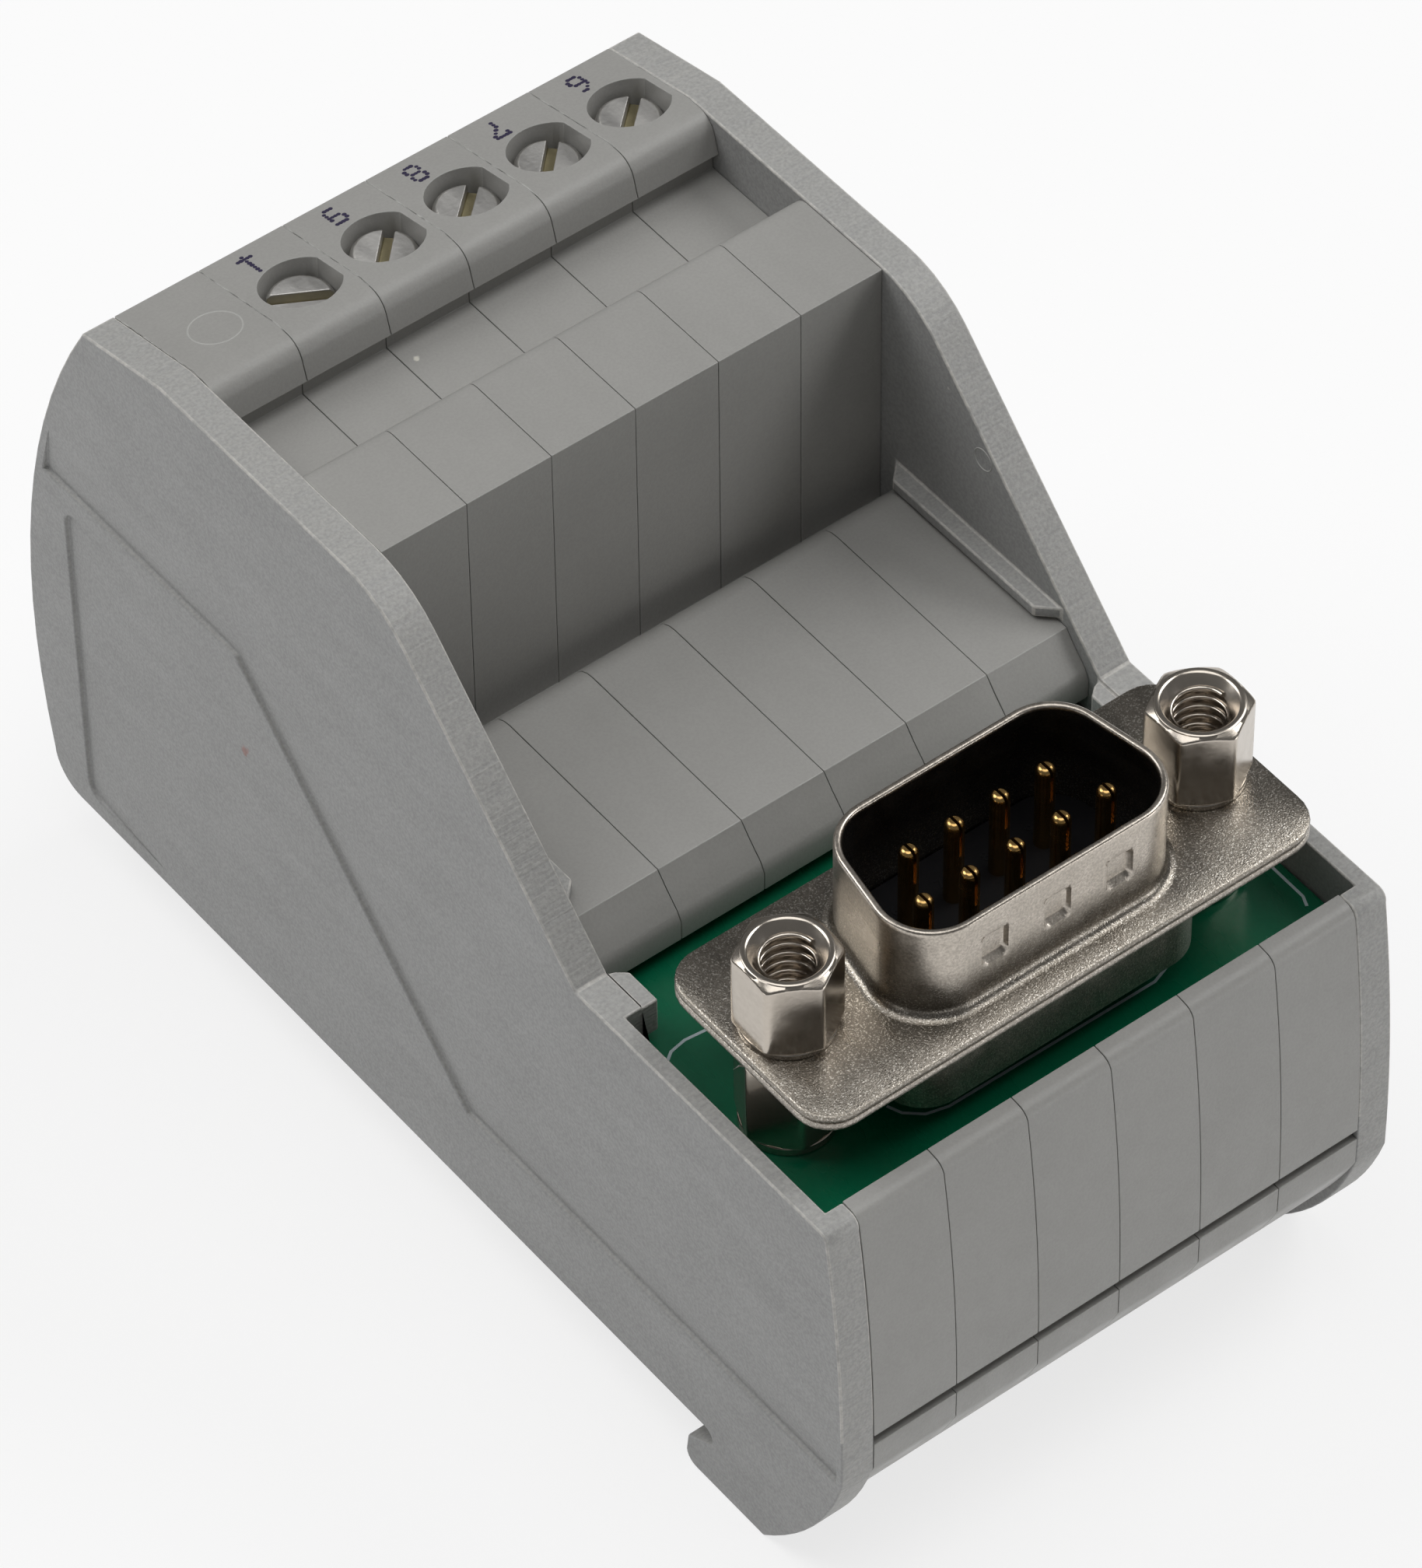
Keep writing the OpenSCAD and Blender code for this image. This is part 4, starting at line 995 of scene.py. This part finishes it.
def makeLabels():
    points = []
    for x, y, rows in labelShapes.values():
        wide, tall = len(rows[0]), len(rows)
        for rowIndex, row in enumerate(rows):
            for columnIndex, mark in enumerate(row):
                if mark == "#":
                    across = (columnIndex - (wide - 1) / 2) * labelDesk["step"][0]
                    along = (rowIndex - (tall - 1) / 2) * labelDesk["step"][1]
                    points.append((x - across, y + along, topAt(y + along) + 0.002))
    tilt = math.atan(topDesk["drop"] / (topDesk["back"] - topDesk["crease"]))
    mesh = dotTree().run(pointMesh("labels", points), "labelInk", {
        "Dot": labelDesk["dot"] * mm, "Thick": labelDesk["thick"] * mm, "Tilt": (-tilt, 0.0, 0.0), "Seed": seed,
    })
    addPiece("labels", mesh, "labelInk")


makeLabels()
print("labels made")

# flash of the mould along the seams

flashDesk = {
    "radius": 0.04, "step": 0.16, "wander": 0.03, "threshold": 0.4, "full": 0.62, "least": 0.12,
    "wanderScale": 900.0, "breakScale": 1400.0,
    "sink": 0.02, "start": 18.9, "short": 0.05, "cross": {"y": 10.95, "z": 29.5, "short": 0.2},
}
seamPlaces = [-15.24 + 5.08 * index for index in range(7)]


def flashTree():  # a broken thin ridge along every edge of the input
    desk = TreeDesk("mouldFlash", {
        "Step": "Float", "Radius": "Float", "Wander": "Float",
        "Threshold": "Float",
    })
    curve = desk.node("GeometryNodeMeshToCurve", {"Mesh": desk.given["Geometry"]})
    fine = desk.node(
        "GeometryNodeResampleCurve", {"Curve": curve.outputs[0], "Length": desk.given["Step"]}, mode="LENGTH"
    )
    texture = desk.node("ShaderNodeTexNoise", {"Scale": flashDesk["wanderScale"], "Detail": 2.0})
    centred = desk.node(
        "ShaderNodeVectorMath", {0: texture.outputs["Color"], 1: (0.5, 0.5, 0.5)}, operation="SUBTRACT"
    )
    shift = desk.node(
        "ShaderNodeVectorMath", {0: centred.outputs[0], "Scale": desk.given["Wander"]}, operation="SCALE"
    )
    moved = desk.node("GeometryNodeSetPosition", {"Geometry": fine.outputs[0], "Offset": shift.outputs[0]})
    broken = desk.node("ShaderNodeTexNoise", {"Scale": flashDesk["breakScale"], "Detail": 1.0})
    share = desk.node("ShaderNodeMapRange", {
        "Value": broken.outputs["Fac"], "From Min": desk.given["Threshold"],
        "From Max": flashDesk["full"], "To Min": flashDesk["least"],
    }).outputs["Result"]
    sized = desk.node("GeometryNodeSetCurveRadius", {"Curve": moved.outputs[0], "Radius": share})
    profile = desk.node("GeometryNodeCurvePrimitiveCircle", {"Resolution": 5, "Radius": desk.given["Radius"]})
    swept = desk.node("GeometryNodeCurveToMesh", {
        "Curve": sized.outputs[0], "Profile Curve": profile.outputs[0], "Fill Caps": True, "Scale": share,
    })
    desk.close(swept.outputs[0])
    return desk


def makeFlash():
    sink, cross = flashDesk["sink"], flashDesk["cross"]
    top, back = topDesk["height"] - sink, topDesk["back"] - flashDesk["short"]
    lines = [
        [(x, flashDesk["start"], top), (x, topDesk["crease"], top), (x, back, topAt(back) - sink)] for x in seamPlaces
    ]
    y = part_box("housing_slice_1")[0].y / mm + cross["y"]
    lines.append([(x, y, cross["z"]) for x in (seamPlaces[0] + cross["short"], seamPlaces[-1] - cross["short"])])
    points, edges = [], []
    for line in lines:
        edges += [(len(points) + index, len(points) + index + 1) for index in range(len(line) - 1)]
        points += line
    mesh = flashTree().run(pointMesh("seamFlash", points, edges), "burrGrey", {
        "Step": flashDesk["step"] * mm, "Radius": flashDesk["radius"] * mm, "Wander": flashDesk["wander"] * mm,
        "Threshold": flashDesk["threshold"],
    })
    addPiece("seamFlash", mesh, "burrGrey")


makeFlash()
print("flash made")

# marks of the mould: a ring on the first slice, an ejector's ring on the right plate, in a lighter grey as painted
# highlight

markDesk = {
    "ring": {"place": (-12.40, 21.62), "radius": 1.36, "wide": 0.07},
    "ejector": {"place": (15.24, -3.68, 36.01), "radius": 0.65, "wide": 0.06},
}


def bandRing(shape, radius, wide, spot, steps=64):  # thin raised ring; spot gives a point for (angle, radius, lift)
    band = ((-wide, -0.02), (0.0, 0.035), (wide, -0.02))
    rings = [
        [addPoint(shape, *spot(angle, radius + outward, lift)) for outward, lift in band] for angle in turnsOf(steps)
    ]
    bridge(shape, rings, across=True, loop=True)


def makeMarks():
    ring, ejector = markDesk["ring"], markDesk["ejector"]
    shape = bmesh.new()

    def onTop(angle, radius, lift):
        x, y = ring["place"][0] + radius * math.cos(angle), ring["place"][1] + radius * math.sin(angle)
        return x, y, topAt(y) + lift

    def onWall(angle, radius, lift):
        x, y, z = ejector["place"]
        return x - lift, y + radius * math.cos(angle), z + radius * math.sin(angle)

    bandRing(shape, ring["radius"], ring["wide"], onTop)
    bandRing(shape, ejector["radius"], ejector["wide"], onWall, 40)
    addPiece("mouldMarks", meshOf(shape, "mouldMarks", 80), "burrGrey")


makeMarks()
print("mould marks made")

# silkscreen on the board

inkDesk = {
    "wide": 0.16, "thick": 0.012,
    "lines": [
        [(-8.45, -2.4), (-8.13, -3.18), (-7.31, -3.92), (-6.14, -4.24), (6.5, -4.35), (7.72, -3.93), (8.59, -3.04)],
        [(-15.2, 6.04), (-14.39, 6.63), (-13.44, 6.8), (-11.16, 6.54)],
        [(15.64, -2.28), (15.59, -4.65), (15.33, -5.24)],
    ],
}


def makeRibbon(shape, line, wide, thick, height):
    rings = []
    for index, point in enumerate(line):
        before, after = Vector(line[max(index - 1, 0)]), Vector(line[min(index + 1, len(line) - 1)])
        side = (after - before).normalized()
        side = Vector((-side.y, side.x)) * wide / 2
        corners = [(point[0] + side.x, point[1] + side.y), (point[0] - side.x, point[1] - side.y)]
        ring = [addPoint(shape, x, y + plugMiddle[1], height) for x, y in corners]
        ring += [addPoint(shape, x, y + plugMiddle[1], height + thick) for x, y in reversed(corners)]
        rings.append(ring)
    bridge(shape, rings, across=True)
    shape.faces.new(rings[0])
    shape.faces.new(rings[-1])


def makeInk():
    shape = bmesh.new()
    for line in inkDesk["lines"]:
        makeRibbon(shape, line, inkDesk["wide"], inkDesk["thick"], boardTop)
    addPiece("boardInk", meshOf(shape, "boardInk"), "boardInk")


makeInk()
print("silkscreen made")
